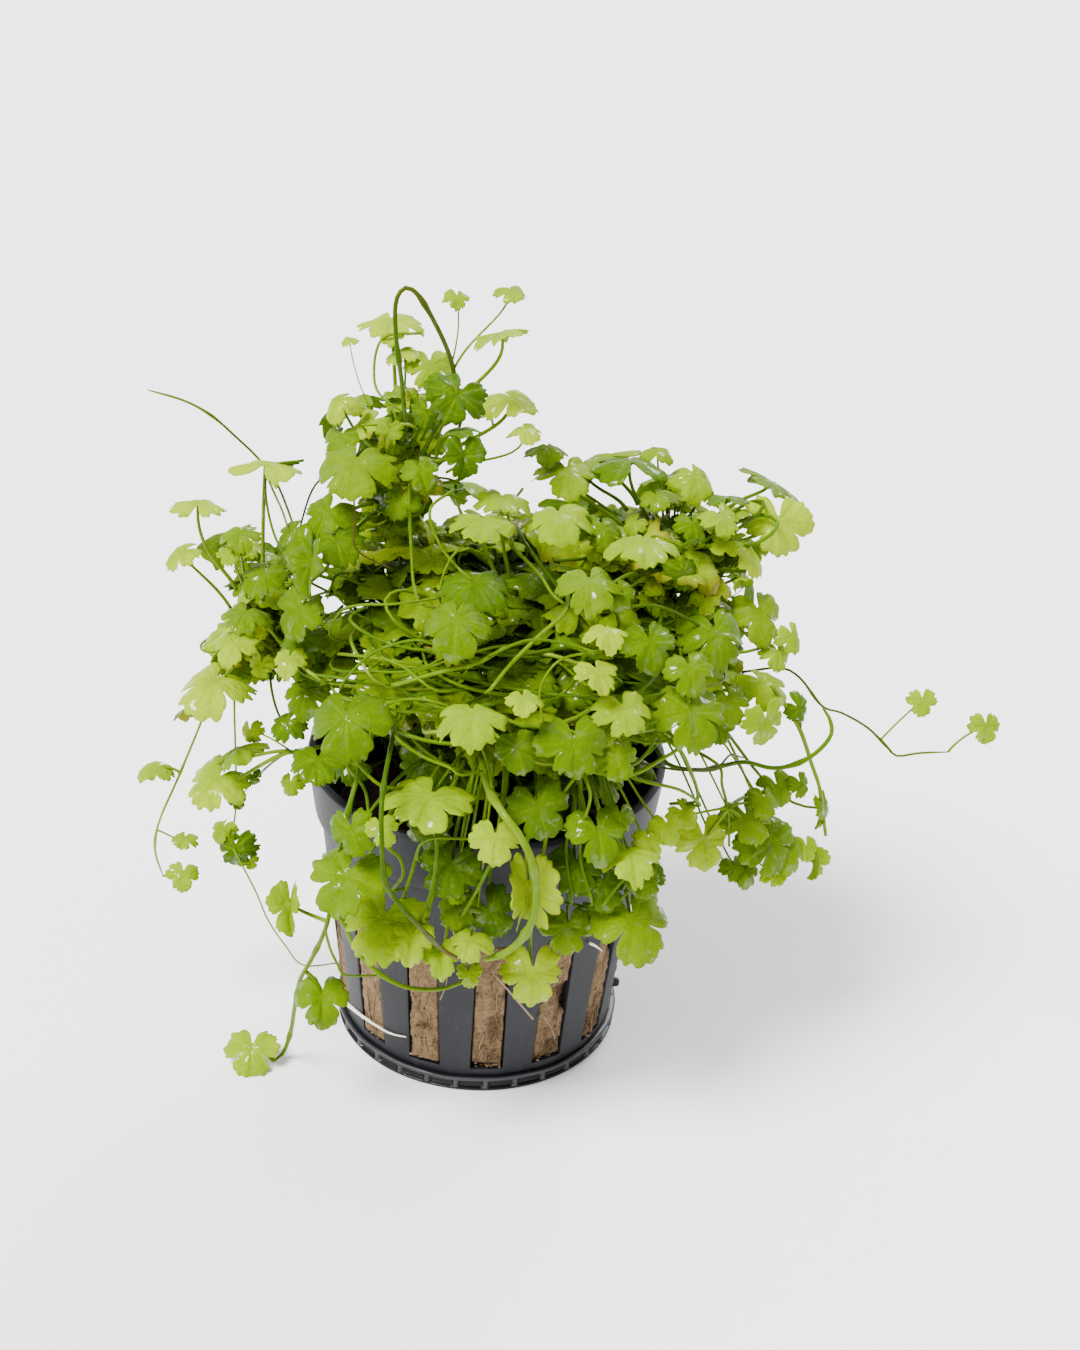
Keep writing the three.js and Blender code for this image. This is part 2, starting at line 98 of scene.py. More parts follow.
camera_data = bpy.data.cameras.new("camera")
camera_data.sensor_width = SENSOR
camera_data.lens = FOCAL_PIXELS / VIEW_HEIGHT * SENSOR
camera_data.clip_start = 0.01
camera = new_object("camera", camera_data)
bpy.context.scene.camera = camera
axes = np.stack([view_right, view_up, view_back], axis=1)
camera.matrix_world = Matrix([[*axes[i], eye[i]] for i in range(3)] + [[0, 0, 0, 1]])
print("lens", round(camera_data.lens, 1), "mm")

# %% [markdown]
# ## Shader sums that read like sums
# A material is a graph of nodes, and long graphs are hard to read as code. One small class wraps a socket,
# so that 1 - mask or noise * 0.3 adds its Math node, and one method makes every other kind of node.


# %% Shader helper
class Wire:
    """An output socket that can be used in sums."""

    def __init__(self, tree, socket):
        self.tree = tree
        self.socket = socket

    def sum(self, operation, first, second):
        node = self.tree.nodes.new("ShaderNodeMath")
        node.operation = operation
        for socket, value in zip(node.inputs, (first, second)):
            plug(self.tree, socket, value)
        return Wire(self.tree, node.outputs[0])

    def __add__(self, other):
        return self.sum("ADD", self, other)

    def __sub__(self, other):
        return self.sum("SUBTRACT", self, other)

    def __rsub__(self, other):
        return self.sum("SUBTRACT", other, self)

    def __mul__(self, other):
        return self.sum("MULTIPLY", self, other)

    __radd__ = __add__
    __rmul__ = __mul__

    def above(self, level):
        return self.sum("GREATER_THAN", self, level)


def plug(tree, socket, value):
    """Links a wire to a socket, or sets the socket's own value."""
    if isinstance(value, Wire):
        tree.links.new(value.socket, socket)
    elif hasattr(socket.default_value, "__len__") and len(value) == 3 and len(socket.default_value) == 4:
        socket.default_value = (*value, 1.0)
    else:
        socket.default_value = value


def set_stops(ramp, stops):
    while len(ramp.elements) < len(stops):
        ramp.elements.new(0.5)
    for element, (place, colour) in zip(ramp.elements, stops):
        element.position = place
        element.color = (*colour, 1.0)


class Finish:
    """A new material and the nodes that make its finish."""

    def __init__(self, name):
        self.material = bpy.data.materials.new(name)
        self.material.use_nodes = True
        self.tree = self.material.node_tree
        self.tree.nodes.clear()

    def node(self, kind, settings=None, output=0, **values):
        made = self.tree.nodes.new("ShaderNode" + kind)
        for setting, value in (settings or {}).items():
            if setting == "stops":
                set_stops(made.color_ramp, value)
            else:
                setattr(made, setting, value)
        for name, value in values.items():
            socket = made.inputs[int(name[1:])] if name[0] == "i" else made.inputs[name.replace("_", " ")]
            plug(self.tree, socket, value)
        return Wire(self.tree, made.outputs[output])

    def place(self, scale=(1.0, 1.0, 1.0)):
        """The object's own coordinates in metres, stretched along its axes."""
        spot = self.node("TexCoord", output=3)
        return self.node("VectorMath", {"operation": "MULTIPLY"}, i0=spot, i1=scale)

    def noise(self, scale, detail=2.0, roughness=0.5, stretch=(1.0, 1.0, 1.0)):
        return self.node(
            "TexNoise", Vector=self.place(stretch), Scale=scale, Detail=detail, Roughness=roughness,
        )

    def mix(self, factor, first, second):
        return self.node("Mix", {"data_type": "RGBA"}, output=2, i0=factor, i6=first, i7=second)

    def ramp(self, value, stops):
        return self.node("ValToRGB", {"stops": stops}, i0=value)

    def mark(self, name):
        return self.node("Attribute", {"attribute_name": name}, output=2)

    def bump(self, height, depth):
        return self.node("Bump", Height=height, Distance=depth)

    def done(self, surface):
        out = self.tree.nodes.new("ShaderNodeOutputMaterial")
        self.tree.links.new(surface.socket, out.inputs["Surface"])
        return self.material

    def plain(self, **values):
        """A finish of one opaque surface."""
        return self.done(self.node("BsdfPrincipled", **values))

    def glowing(self, share, surface):
        """The finish of a thin green wall that lets a share of the light through."""
        light = self.node("BsdfTranslucent", Color=GLOW_COLOUR)
        return self.done(self.node("MixShader", i0=share, i1=surface, i2=light))


print("shader helper ready")

# %% [markdown]
# ## Leaf finish
# The blades are wet and thin. Young ones on the outside are a bright yellow green and let light through,
# and the veins and the underside are paler. Leaves deep inside get a dark tone: partly the colour of old
# leaves and partly painted shade. Every leaf carries marks on its points (its tone, how near a point is to
# a vein, its share of the radius, top or underside), so one material can colour hundreds of leaves
# differently. A Translucent shader is mixed in for the light that comes through, which costs far less than
# scattering inside such thin walls.

# %% Leaf finish
# Low tones are partly painted shade and high ones partly painted light: a leaf's tone mark also says how it
# is lit.
LEAF_TONES = [
    (0.0, (0.010, 0.030, 0.0004)),
    (0.3, (0.036, 0.088, 0.0004)),
    (0.55, (0.080, 0.155, 0.0004)),
    (0.8, (0.170, 0.270, 0.0005)),
    (0.93, (0.270, 0.400, 0.0006)),
    (1.0, (0.390, 0.510, 0.0080)),
]
VEIN_COLOUR = (0.19, 0.28, 0.003)
UNDERSIDE_COLOUR = (0.17, 0.26, 0.01)
WITHER_COLOUR = (0.20, 0.11, 0.02)
GLOW_COLOUR = (0.34, 0.52, 0.0004)
LEAF_SHEEN = (0.8, 1.0, 0.05)


def leaf_finish():
    f = Finish("wet_leaf")
    tone, vein, rim, under = (f.mark(name) for name in ("tone", "vein", "rim", "under"))
    wither = f.mark("wither")
    mottle = f.noise(300, 3.0, 0.6)
    grain = f.noise(2600, 2.0, 0.6)
    patches = f.noise(420, 2.0, 0.5)
    wet = f.noise(640, 3.0, 0.6).above(0.57)
    blister = f.noise(950, 2.0, 0.6)
    colour = f.ramp(tone + (mottle - 0.5) * 0.24 + rim * 0.05, LEAF_TONES)
    colour = f.mix(vein * (0.34 - rim * 0.16), colour, VEIN_COLOUR)
    colour = f.mix(under * 0.4, colour, UNDERSIDE_COLOUR)
    colour = f.mix(wither * (0.4 + mottle), colour, WITHER_COLOUR)
    gloss = f.node(
        "BsdfPrincipled",
        Base_Color=colour, Roughness=0.34 + patches * 0.24 + under * 0.2,
        Specular_IOR_Level=0.16, Specular_Tint=LEAF_SHEEN,
        Coat_Weight=(0.8 - under * 0.7) * wet, Coat_Roughness=0.10,
        Normal=f.bump(grain * 0.25 + patches * 1.1 + blister * 1.3 - vein * 0.2, 0.00022),
    )
    return f.glowing(0.16 + tone * 0.24, gloss)


leaf_material = leaf_finish()
print(leaf_material.name, len(leaf_material.node_tree.nodes), "nodes")

# %% [markdown]
# ## Stem finish
# Petioles and runners are smooth and juicy: pale yellow green when young, darker green lower down, and a
# little brown where an old runner has begun to wither. The same tone mark picks the colour.

# %% Stem finish
STEM_TONES = [
    (0.0, (0.085, 0.046, 0.014)),
    (0.25, (0.024, 0.058, 0.001)),
    (0.55, (0.060, 0.130, 0.001)),
    (0.85, (0.135, 0.220, 0.003)),
    (1.0, (0.280, 0.350, 0.040)),
]


def stem_finish():
    f = Finish("juicy_stem")
    streak = f.noise(500, 3.0, 0.6)
    gloss = f.node(
        "BsdfPrincipled",
        Base_Color=f.ramp(f.mark("tone") + (streak - 0.5) * 0.25, STEM_TONES),
        Roughness=0.3 + streak * 0.2, Specular_IOR_Level=0.2, Specular_Tint=LEAF_SHEEN,
        Coat_Weight=streak.above(0.55) * 0.25, Coat_Roughness=0.14,
        Normal=f.bump(f.noise(1500), 0.0001),
    )
    return f.glowing(0.15 + streak * 0.1, gloss)


stem_material = stem_finish()
print(stem_material.name, len(stem_material.node_tree.nodes), "nodes")

# %% [markdown]
# ## Pot and coir finishes
# The pot is moulded from dark grey plastic with a faint blue cast. Its wall is satin, with fine moulding
# streaks and a film of dried water. Its foot ring is blacker, and its ridges and lip are paler with a
# painted highlight. The plug is pressed coir fibre: felt-like and light brown at the slots. Its wet mark
# gives the fibres and crumbs random damp and paints shade in the pits, behind the bars, towards the lower
# right and on the plug's top. Marks made with the meshes (the foot, its ridges and the wet) say where.
# Young roots are almost white.

# %% Pot and coir finishes
PLASTIC = (0.0100, 0.0100, 0.0125)
PLASTIC_WORN = (0.040, 0.041, 0.048)
PLASTIC_FOOT = (0.0025, 0.0025, 0.0033)
# A paler grey for the foot's ridges and lip: a painted highlight.
PLASTIC_RIDGE_HIGHLIGHT = (0.062, 0.062, 0.070)
# The darkest coir tones serve the painted shade in the pits and on the plug's top.
COIR_TONES = [
    (0.0, (0.020, 0.011, 0.006)),
    (0.35, (0.090, 0.054, 0.026)),
    (0.6, (0.210, 0.138, 0.072)),
    (1.0, (0.330, 0.240, 0.140)),
]
ROOT_TAN = (0.62, 0.60, 0.44)
ROOT_WHITE = (0.86, 0.86, 0.76)


def pot_finish():
    f = Finish("pot_plastic")
    foot, ridge = f.mark("foot"), f.mark("ridge")
    film = f.noise(110, 4.0, 0.65, (1.0, 1.0, 0.35))
    scuff = f.noise(900, 3.0, 0.7, (1.0, 1.0, 0.15))
    pores = f.noise(5200, 2.0)
    colour = f.mix((film - 0.36) * (1.1 - foot), PLASTIC, PLASTIC_WORN)
    colour = f.mix(scuff.above(0.66) * 0.25, colour, PLASTIC_WORN)
    colour = f.mix(foot * 0.9, colour, PLASTIC_FOOT)
    # The foot's ridges and lip get the paler grey: a painted highlight where light catches their edges.
    colour = f.mix(ridge * (film + 0.25), colour, PLASTIC_RIDGE_HIGHLIGHT)
    return f.plain(
        Base_Color=colour, Roughness=0.42 + film * 0.22 - foot * 0.20, Specular_IOR_Level=0.22,
        Coat_Weight=foot * 0.12, Coat_Roughness=0.12,
        Normal=f.bump(film * 0.6 + scuff * 0.4 + pores * 0.3, 0.00006),
    )


def coir_finish():
    f = Finish("coir")
    felt = f.noise(900, 5.0, 0.72, (1.0, 1.0, 0.5))
    strands = f.noise(2600, 3.0, 0.7, (0.5, 0.5, 1.0))
    specks = f.noise(2100, 1.0)
    # The wet mark darkens the coir: random damp on fibres and crumbs, painted shade on the plug.
    light = felt * 0.75 + strands * 0.45 - f.mark("wet") * 0.55 - specks.above(0.68) * 0.35
    return f.plain(
        Base_Color=f.ramp(light, COIR_TONES), Roughness=0.95, Specular_IOR_Level=0.15,
        Normal=f.bump(felt + strands * 0.7, 0.00035),
    )


def root_finish():
    f = Finish("young_root")
    cloud = f.noise(700, 3.0)
    return f.plain(
        Base_Color=f.mix(cloud, ROOT_TAN, ROOT_WHITE), Roughness=0.45, Coat_Weight=cloud * 0.3,
        Normal=f.bump(cloud, 0.0002),
    )


pot_material, coir_material, root_material = pot_finish(), coir_finish(), root_finish()
print("finishes:", pot_material.name, coir_material.name, root_material.name)

# %% [markdown]
# ## Heaps of growth
# Hundreds of leaves would be slow as hundreds of objects, so each mass is only a few meshes. A heap collects
# the points, faces and marks of what grows together, and turns them into one object at the end. Every piece
# then rides the root body, and the solid that it stands for is hidden.

# %% Heap
LEAF_MARKS = ("tone", "vein", "rim", "under", "wither")
BLADE, STALK = 0, 1


class Heap:
    """Points, faces and marks that become one mesh."""

    def __init__(self, marks=LEAF_MARKS):
        self.points = []
        self.faces = []
        self.slots = []
        self.marks = {name: [] for name in marks}
        self.count = 0

    def add(self, points, faces, slot=0, **marks):
        self.points.append(points)
        self.faces += [[corner + self.count for corner in face] for face in faces]
        self.slots += [slot] * len(faces)
        for name, values in self.marks.items():
            values.append(np.broadcast_to(marks.get(name, 0.0), len(points)))
        self.count += len(points)

    def object(self, name, materials):
        mesh = bpy.data.meshes.new(name)
        mesh.from_pydata(np.concatenate(self.points), [], self.faces)
        mesh.polygons.foreach_set("material_index", self.slots)
        mesh.polygons.foreach_set("use_smooth", [True] * len(self.faces))
        for mark, values in self.marks.items():
            layer = mesh.attributes.new(mark, "FLOAT", "POINT")
            layer.data.foreach_set("value", np.concatenate(values).astype(np.float32))
        for material in materials:
            mesh.materials.append(material)
        mesh.update()
        return new_object(name, mesh)


def attach(piece, slot_name, *nodes):
    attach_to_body(piece, "root")
    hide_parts(*nodes)


print("marks:", ", ".join(LEAF_MARKS))

# %% [markdown]
# ## Tubes
# A petiole is a round stalk that thins towards its blade. A curve object with a bevel would do, but a mesh
# can carry the marks and join the leaf's heap. The rings are kept from twisting by carrying one direction
# along the path and laying it flat on each new ring.


# %% Tubes
def bezier(corners, steps):
    """Points along a cubic curve with four control points."""
    t = np.linspace(0.0, 1.0, steps + 1)[:, None]
    a, b, c, d = corners
    return (1 - t) ** 3 * a + 3 * (1 - t) ** 2 * t * b + 3 * (1 - t) * t ** 2 * c + t ** 3 * d


def through(knots, steps):
    """Points along a smooth curve through the knots, evenly spaced, as a Catmull-Rom curve."""
    knots = np.asarray(knots)
    padded = np.vstack([2 * knots[0] - knots[1], knots, 2 * knots[-1] - knots[-2]])
    fine = []
    for a, b, c, d in zip(padded, padded[1:], padded[2:], padded[3:]):
        t = np.linspace(0.0, 1.0, 24, endpoint=False)[:, None]
        fine.append(0.5 * (2 * b + (c - a) * t + (2 * a - 5 * b + 4 * c - d) * t ** 2
                           + (3 * b - a - 3 * c + d) * t ** 3))
    fine = np.vstack([*fine, knots[-1:]])
    walked = np.concatenate([[0.0], np.cumsum(np.linalg.norm(np.diff(fine, axis=0), axis=1))])
    wanted = np.linspace(0.0, walked[-1], steps + 1)
    return np.stack([np.interp(wanted, walked, fine[:, i]) for i in range(3)], axis=1)


def ring_faces(rings, columns, closed=False):
    """Quads between rings of points, each ring with the same number of columns."""
    faces = []
    for ring in range(rings if closed else rings - 1):
        low, high = ring * columns, (ring + 1) % rings * columns
        for k in range(columns):
            after = (k + 1) % columns
            faces.append((low + k, low + after, high + after, high + k))
    return faces


def capped_faces(rings, columns):
    """Quads between rings, and a fan at each end from the two tip points that follow the rings."""
    faces = ring_faces(rings, columns)
    last = (rings - 1) * columns
    for k in range(columns):
        after = (k + 1) % columns
        faces.append((rings * columns, after, k))
        faces.append((rings * columns + 1, last + k, last + after))
    return faces


def add_tube(heap, path, radii, sides=6, slot=STALK, tone=0.0, **marks):
    """A closed tube along a path, with a radius and perhaps a tone for each point."""
    ahead = np.gradient(path, axis=0)
    ahead /= np.linalg.norm(ahead, axis=1, keepdims=True)
    across = np.cross(ahead[0], [0.31, 0.17, 0.94])
    turn = np.linspace(0.0, 2 * math.pi, sides, endpoint=False)
    rings = []
    for place, way, radius in zip(path, ahead, np.broadcast_to(radii, len(path))):
        across = across - way * np.dot(across, way)
        across = across / np.linalg.norm(across)
        other = np.cross(way, across)
        rings.append(place + radius * (np.cos(turn)[:, None] * across + np.sin(turn)[:, None] * other))
    points = np.vstack([*rings, path[:1], path[-1:]])
    tones = np.broadcast_to(tone, len(path))
    tones = np.concatenate([np.repeat(tones, sides), tones[[0, -1]]])
    heap.add(points, capped_faces(len(path), sides), slot, tone=tones, **marks)


print("faces of a short tube:", len(capped_faces(3, 6)))

# %% [markdown]
# ## Rough surfaces
# Felt and crumb need bumps that are real geometry. Value noise gives them: random heights on the corners of
# a grid of cells, blended smoothly in between. A few sizes of it on top of each other look like pressed
# fibre, and the seeds keep it the same on every run.


# %% Value noise
def rough(points, size, seed):
    """Smooth random heights between -1 and 1 at points in space, with cells of the given size."""
    table = np.random.default_rng(seed).uniform(-1, 1, (32, 32, 32))
    scaled = points / size
    cell = np.floor(scaled).astype(int)
    share = scaled - cell
    share = share * share * (3 - 2 * share)
    total = np.zeros(len(points))
    for corner in np.ndindex(2, 2, 2):
        weight = np.prod(np.where(corner, share, 1 - share), axis=1)
        total += weight * table[tuple(((cell + corner) % 32).T)]
    return total


def around_axis(angle, radius, height):
    """Points around the pot's axis; angle 0 is towards the viewer, and a quarter turn is to the right."""
    angle, radius, height = np.broadcast_arrays(angle, radius, height)
    return np.stack([radius * np.sin(angle), -radius * np.cos(angle), height], axis=-1)


print("noise at the origin", round(float(rough(np.zeros((1, 3)), 1.0, 1)[0]), 3))

# %% [markdown]
# ## The net pot
# The pot is one thin moulding with fourteen tall slots, a wider collar and a foot ring. Boolean cuts in a
# round wall leave long thin faces that shade badly. So the wall is drawn as a grid whose columns follow the
# slots' straight sides: the faces in a slot are left out, outside and inside, and the two skins are joined
# around each hole. A Bevel modifier then rounds every hard edge, as a mould does.

# %% Pot sizes
POT_HEIGHT = 46 * MM
RIM_RADIUS = 26 * MM
BODY_TOP_RADIUS = 24.2 * MM
BODY_FOOT_RADIUS = 20.7 * MM
FOOT_RADIUS = 21.4 * MM
FOOT_HEIGHT = 2.4 * MM
BODY_START = FOOT_HEIGHT + 0.4 * MM
BAND_TOP = 37 * MM
COLLAR_STEP = 0.8 * MM
WALL = 1.3 * MM
FLOOR = 1.5 * MM
SLOTS = 14
SLOT_BOTTOM = 3.6 * MM
SLOT_TOP = 27.5 * MM
SLOT_WIDTH = 4.8 * MM
FIRST_SLOT = math.radians(6.8)
SLOT_MIDDLES = [FIRST_SLOT + 2 * math.pi * k / SLOTS for k in range(SLOTS)]
DRAINS = 8
DRAIN_WIDTH = 2.4 * MM
UNDERSIDE = 0.4 * MM
PLUG_TOP = 36 * MM
GAP = 0.4 * MM
COLUMNS = 224
HOLE_COLUMNS = 6


def body_radius(height):
    """The outside of the wall, which leans out from foot to band."""
    lean = (BODY_TOP_RADIUS - BODY_FOOT_RADIUS) / (BAND_TOP - BODY_START)
    return BODY_FOOT_RADIUS + lean * (height - BODY_START)


def on_wall(px, py, clear):
    """The place where a pixel's sight line comes within a few tenths of a millimetre of the wall."""
    for y in np.arange(-32.0, 0.0, 0.05):
        place = seen(px, py, y)
        if math.hypot(place[0], place[1]) < body_radius(place[2]) + clear * MM:
            break
    return place


def hole_columns(radius, holes, first, width, columns=COLUMNS, across_hole=HOLE_COLUMNS):
    """Angles of a grid's columns at a radius: some across each hole, the rest between holes."""
    k = np.arange(columns)
    each = columns // holes
    inside = k % each
    half = math.asin(width / 2 / radius)
    across = np.arcsin(width / 2 / radius * np.clip(2 * inside / across_hole - 1, -1, 1))
    between = half + (inside - across_hole) / (each - across_hole) * (2 * math.pi / holes - 2 * half)
    return first + k // each * 2 * math.pi / holes + np.where(inside <= across_hole, across, between)


print("slots every", round(360 / SLOTS, 1), "degrees")

# %% Pot wall
BASE_ROWS = [(7.5, 7.5), (15.5, 15.5), (19.9, 18.9)]
SKIN_HEIGHTS = [2.0, 2.9, 3.6, 6.4, 9.2, 12.0, 15.0, 18.0, 21.0, 24.2, 27.5, 30.0, 33.0, 36.6]
FLARE_HEIGHTS = [38.2, 39.6, 41.0, 42.4, 43.8, 45.2]
LIP = 0.3 * MM
COLLAR_RISE = 0.8 * MM
INNER_RISE = 0.1 * MM


def wall_rows():
    """Outside and inside radius and height of each row, from the middle of the base to the rim."""
    rows = [(outside * MM, UNDERSIDE, inside * MM, FLOOR) for outside, inside in BASE_ROWS]
    for height in SKIN_HEIGHTS:
        radius = body_radius(height * MM)
        rows.append((radius, height * MM, radius - WALL, height * MM))
    step = BODY_TOP_RADIUS + COLLAR_STEP
    rows.append((BODY_TOP_RADIUS, BAND_TOP, BODY_TOP_RADIUS - WALL, BAND_TOP))
    rows.append((step, BAND_TOP + LIP, step - WALL, BAND_TOP + COLLAR_RISE))
    for height in FLARE_HEIGHTS:
        flare = (height * MM - BAND_TOP) / (POT_HEIGHT - BAND_TOP - COLLAR_RISE)
        radius = step + (RIM_RADIUS - step) * flare
        rows.append((radius, height * MM, radius - WALL, height * MM + INNER_RISE))
    rows.append((RIM_RADIUS, POT_HEIGHT - LIP, RIM_RADIUS - WALL, POT_HEIGHT - LIP))
    rows.append((RIM_RADIUS - LIP, POT_HEIGHT, RIM_RADIUS - WALL + LIP, POT_HEIGHT))
    return rows


def is_hole(row, column, rows):
    """Whether the face above a row and right of a column is open."""
    if row == 0:
        return column % (COLUMNS // DRAINS) < HOLE_COLUMNS
    in_slot = SLOT_BOTTOM - 1e-6 < rows[row][1] < SLOT_TOP - 1e-6
    return in_slot and column % (COLUMNS // SLOTS) < HOLE_COLUMNS


def add_wall(heap):
    rows = wall_rows()
    count = len(rows)
    outer, inner = [], []
    for index, (outside, low, inside, high) in enumerate(rows):
        holes = (DRAINS, 0.0, DRAIN_WIDTH) if index < 2 else (SLOTS, FIRST_SLOT, SLOT_WIDTH)
        outer.append(around_axis(hole_columns(outside, *holes), outside, low))
        inner.append(around_axis(hole_columns(inside, *holes), inside, high))
    points = np.vstack([*outer, *inner[::-1], [[0, 0, rows[0][1]], [0, 0, FLOOR]]])

    def corner(row, column):
        return row * COLUMNS + column % COLUMNS

    def within(row, column):
        return (2 * count - 1 - row) * COLUMNS + column % COLUMNS

    faces = []
    for row in range(count - 1):
        for column in range(COLUMNS):
            spots = [(row, column), (row, column + 1), (row + 1, column + 1), (row + 1, column)]
            outside = [corner(*spot) for spot in spots]
            inside = [within(*spot) for spot in spots]
            if not is_hole(row, column, rows):
                faces += [outside, inside[::-1]]
                continue
            beside = [(row - 1, column), (row, column + 1), (row + 1, column), (row, column - 1)]
            for side, (r, c) in enumerate(beside):
                if r < 0 or not is_hole(r, c % COLUMNS, rows):
                    after = (side + 1) % 4
                    faces.append([outside[side], outside[after], inside[after], inside[side]])
    for column in range(COLUMNS):
        faces.append([corner(count - 1, column), corner(count - 1, column + 1),
                      within(count - 1, column + 1), within(count - 1, column)])
        faces.append([len(points) - 2, corner(0, column + 1), corner(0, column)])
        faces.append([len(points) - 1, within(0, column), within(0, column + 1)])
    heap.add(points, faces, foot=0.0)
    return len(faces)


pot_heap = Heap(("foot", "ridge"))
print("wall faces:", add_wall(pot_heap))

# %% [markdown]
# ### The foot ring
# Around the foot runs a glossy ring with thirty shallow cells, moulded to save plastic, under a thin lip.
# The ring is a closed section swept around the axis, and each cell is a smooth dent in its outer face.

# %% Foot ring
FOOT_CELLS = 30
FIRST_CELL = math.radians(12.7)
CELL_SHARE = 0.84
CELL_DEPTH = 0.6 * MM
CELL_EDGE = 40
FOOT_STEPS = 16
LIP_BOTTOM, LIP_TOP = 1.8, 2.4
ROUNDING = 0.16 * MM
HARD_EDGE = math.radians(42)
FOOT_SECTION = [
    (-1.5, 0.0, 0), (-0.4, 0.0, 0), (-0.08, 0.1, 0), (0.0, 0.28, 0), (0.0, 0.44, 0.15), (0.0, 0.56, 0.9),
    (0.0, 0.85, 1), (0.0, 1.35, 1), (0.0, 1.62, 0.9), (0.0, 1.74, 0.15), (0.06, 1.9, 0), (0.14, 2.1, 0),
    (0.06, 2.32, 0), (-0.25, 2.44, 0), (-1.1, 2.5, 0), (-1.5, 2.3, 0),
]


def add_foot_ring(heap):
    columns = FOOT_CELLS * FOOT_STEPS
    angle = np.arange(columns) / columns * 2 * math.pi + FIRST_CELL
    across = np.abs((np.arange(columns) / FOOT_STEPS + 0.5) % 1 - 0.5) * 2
    dent = 1 / (1 + np.exp((across - CELL_SHARE) * CELL_EDGE))
    rings, ridge_highlights = [], []
    for out, height, depth in FOOT_SECTION:
        in_lip = LIP_BOTTOM < height < LIP_TOP
        wavy = 0.07 * np.sin(7 * angle) + 0.05 * np.sin(17 * angle + 1) if height > LIP_BOTTOM else 0.0
        radius = FOOT_RADIUS + out * MM - CELL_DEPTH * depth * dent
        rings.append(around_axis(angle, radius, (height + wavy) * MM))
        # The ridges between the cells and the lip are marked for a painted highlight.
        ridge_highlights.append(np.where(depth > 0.5, 1 - dent, 0.7 * in_lip) + 0 * angle)
    faces = ring_faces(len(rings), columns, closed=True)
    heap.add(np.vstack(rings), faces, foot=1.0, ridge=np.concatenate(ridge_highlights))


def add_nub(heap):
    """The small nub that keys the pot in its tray."""
    path = np.array([[x, -1.5, 6.4] for x in (20.4, 21.2, 21.7, 21.9)]) * MM
    add_tube(heap, path, np.array([0.75, 0.75, 0.65, 0.3]) * MM, 12, 0)


add_foot_ring(pot_heap)
add_nub(pot_heap)
pot = pot_heap.object("net_pot", [pot_material])
rounding = pot.modifiers.new("rounding", "BEVEL")
rounding.width = ROUNDING
rounding.segments = 2
rounding.limit_method = "ANGLE"
rounding.angle_limit = HARD_EDGE
attach(pot, "pot_plastic", "pot")
print("pot faces:", len(pot.data.polygons))

# %% [markdown]
# ## The coir plug
# The plant is sold in a plug of pressed coir. It swells into the slots until it is flush with the wall, and
# its surface is a felt of short fibres with pits where crumbs fell out. The plug is a grid around the axis
# that noise pushes in and out. Loose fibres are laid on it as thin tubes, and crumbs on the slots' sills. A
# few young roots and straws come out of the slots.

# %% Plug body
PLUG_COLUMNS = 28 * SLOTS
PLUG_SLOT_COLUMNS = 18
PLUG_ROWS = 84
PLUG_SWELL = 1.5 * MM
PLUG_TOP_RINGS = 16
SLOT_SIDE = 0.02 * MM
SIDE_EASE, SILL_EASE = 0.25 * MM, 0.4 * MM
FELT = [(0.20, 2.2, 3), (0.16, 0.8, 4), (0.10, 0.35, 5)]
PIT_SIZE = 3.4 * MM
WET_HEIGHT = 9 * MM


def slot_share(angle, radius, height):
    """1 in the middle of a slot and 0 behind the wall."""
    pitch = 2 * math.pi / SLOTS
    off = np.abs((angle - FIRST_SLOT + pitch / 2) % pitch - pitch / 2) * radius
    beside = np.clip((SLOT_WIDTH / 2 - SLOT_SIDE - off) / SIDE_EASE, 0, 1)
    above = np.clip((height - SLOT_BOTTOM - SLOT_SIDE) / SILL_EASE, 0, 1)
    below = np.clip((SLOT_TOP - SLOT_SIDE - height) / SILL_EASE, 0, 1)
    return beside * above * below


def felt(points):
    """The felt's height at points, in millimetres, from noise of three sizes."""
    return sum(height * rough(points, size * MM, seed) for height, size, seed in FELT)


def plug_surface(angle, height):
    """Points on the plug's side, and its wet mark: painted shade in the pits, behind the bars and towards
    the lower right.
    """
    bare = around_axis(angle, body_radius(height), height)
    share = slot_share(angle, body_radius(height), height)
    low = np.clip(1 - (height - SLOT_BOTTOM) / WET_HEIGHT, 0, 1)
    right = np.clip(np.sin(angle) * 0.5 + 0.5, 0, 1)
    pits = np.clip(rough(bare, PIT_SIZE, 8) * 1.6 - 0.75 + 0.5 * low * right, 0, 1)
    out = PLUG_SWELL * share * (1 - 1.3 * pits) + felt(bare) * MM * (0.4 + 0.6 * share)
    radius = body_radius(height) - WALL - GAP + np.minimum(out, PLUG_SWELL * 1.2 * share + 0.1 * MM)
    # The wet mark here is painted shade: darker in the pits, behind the bars and towards the lower right,
    # away from the key sun.
    wet = np.clip(0.15 + 0.75 * pits + 0.45 * right * low + 0.3 * (1 - share), 0, 1)
    return around_axis(angle, radius, height), wet


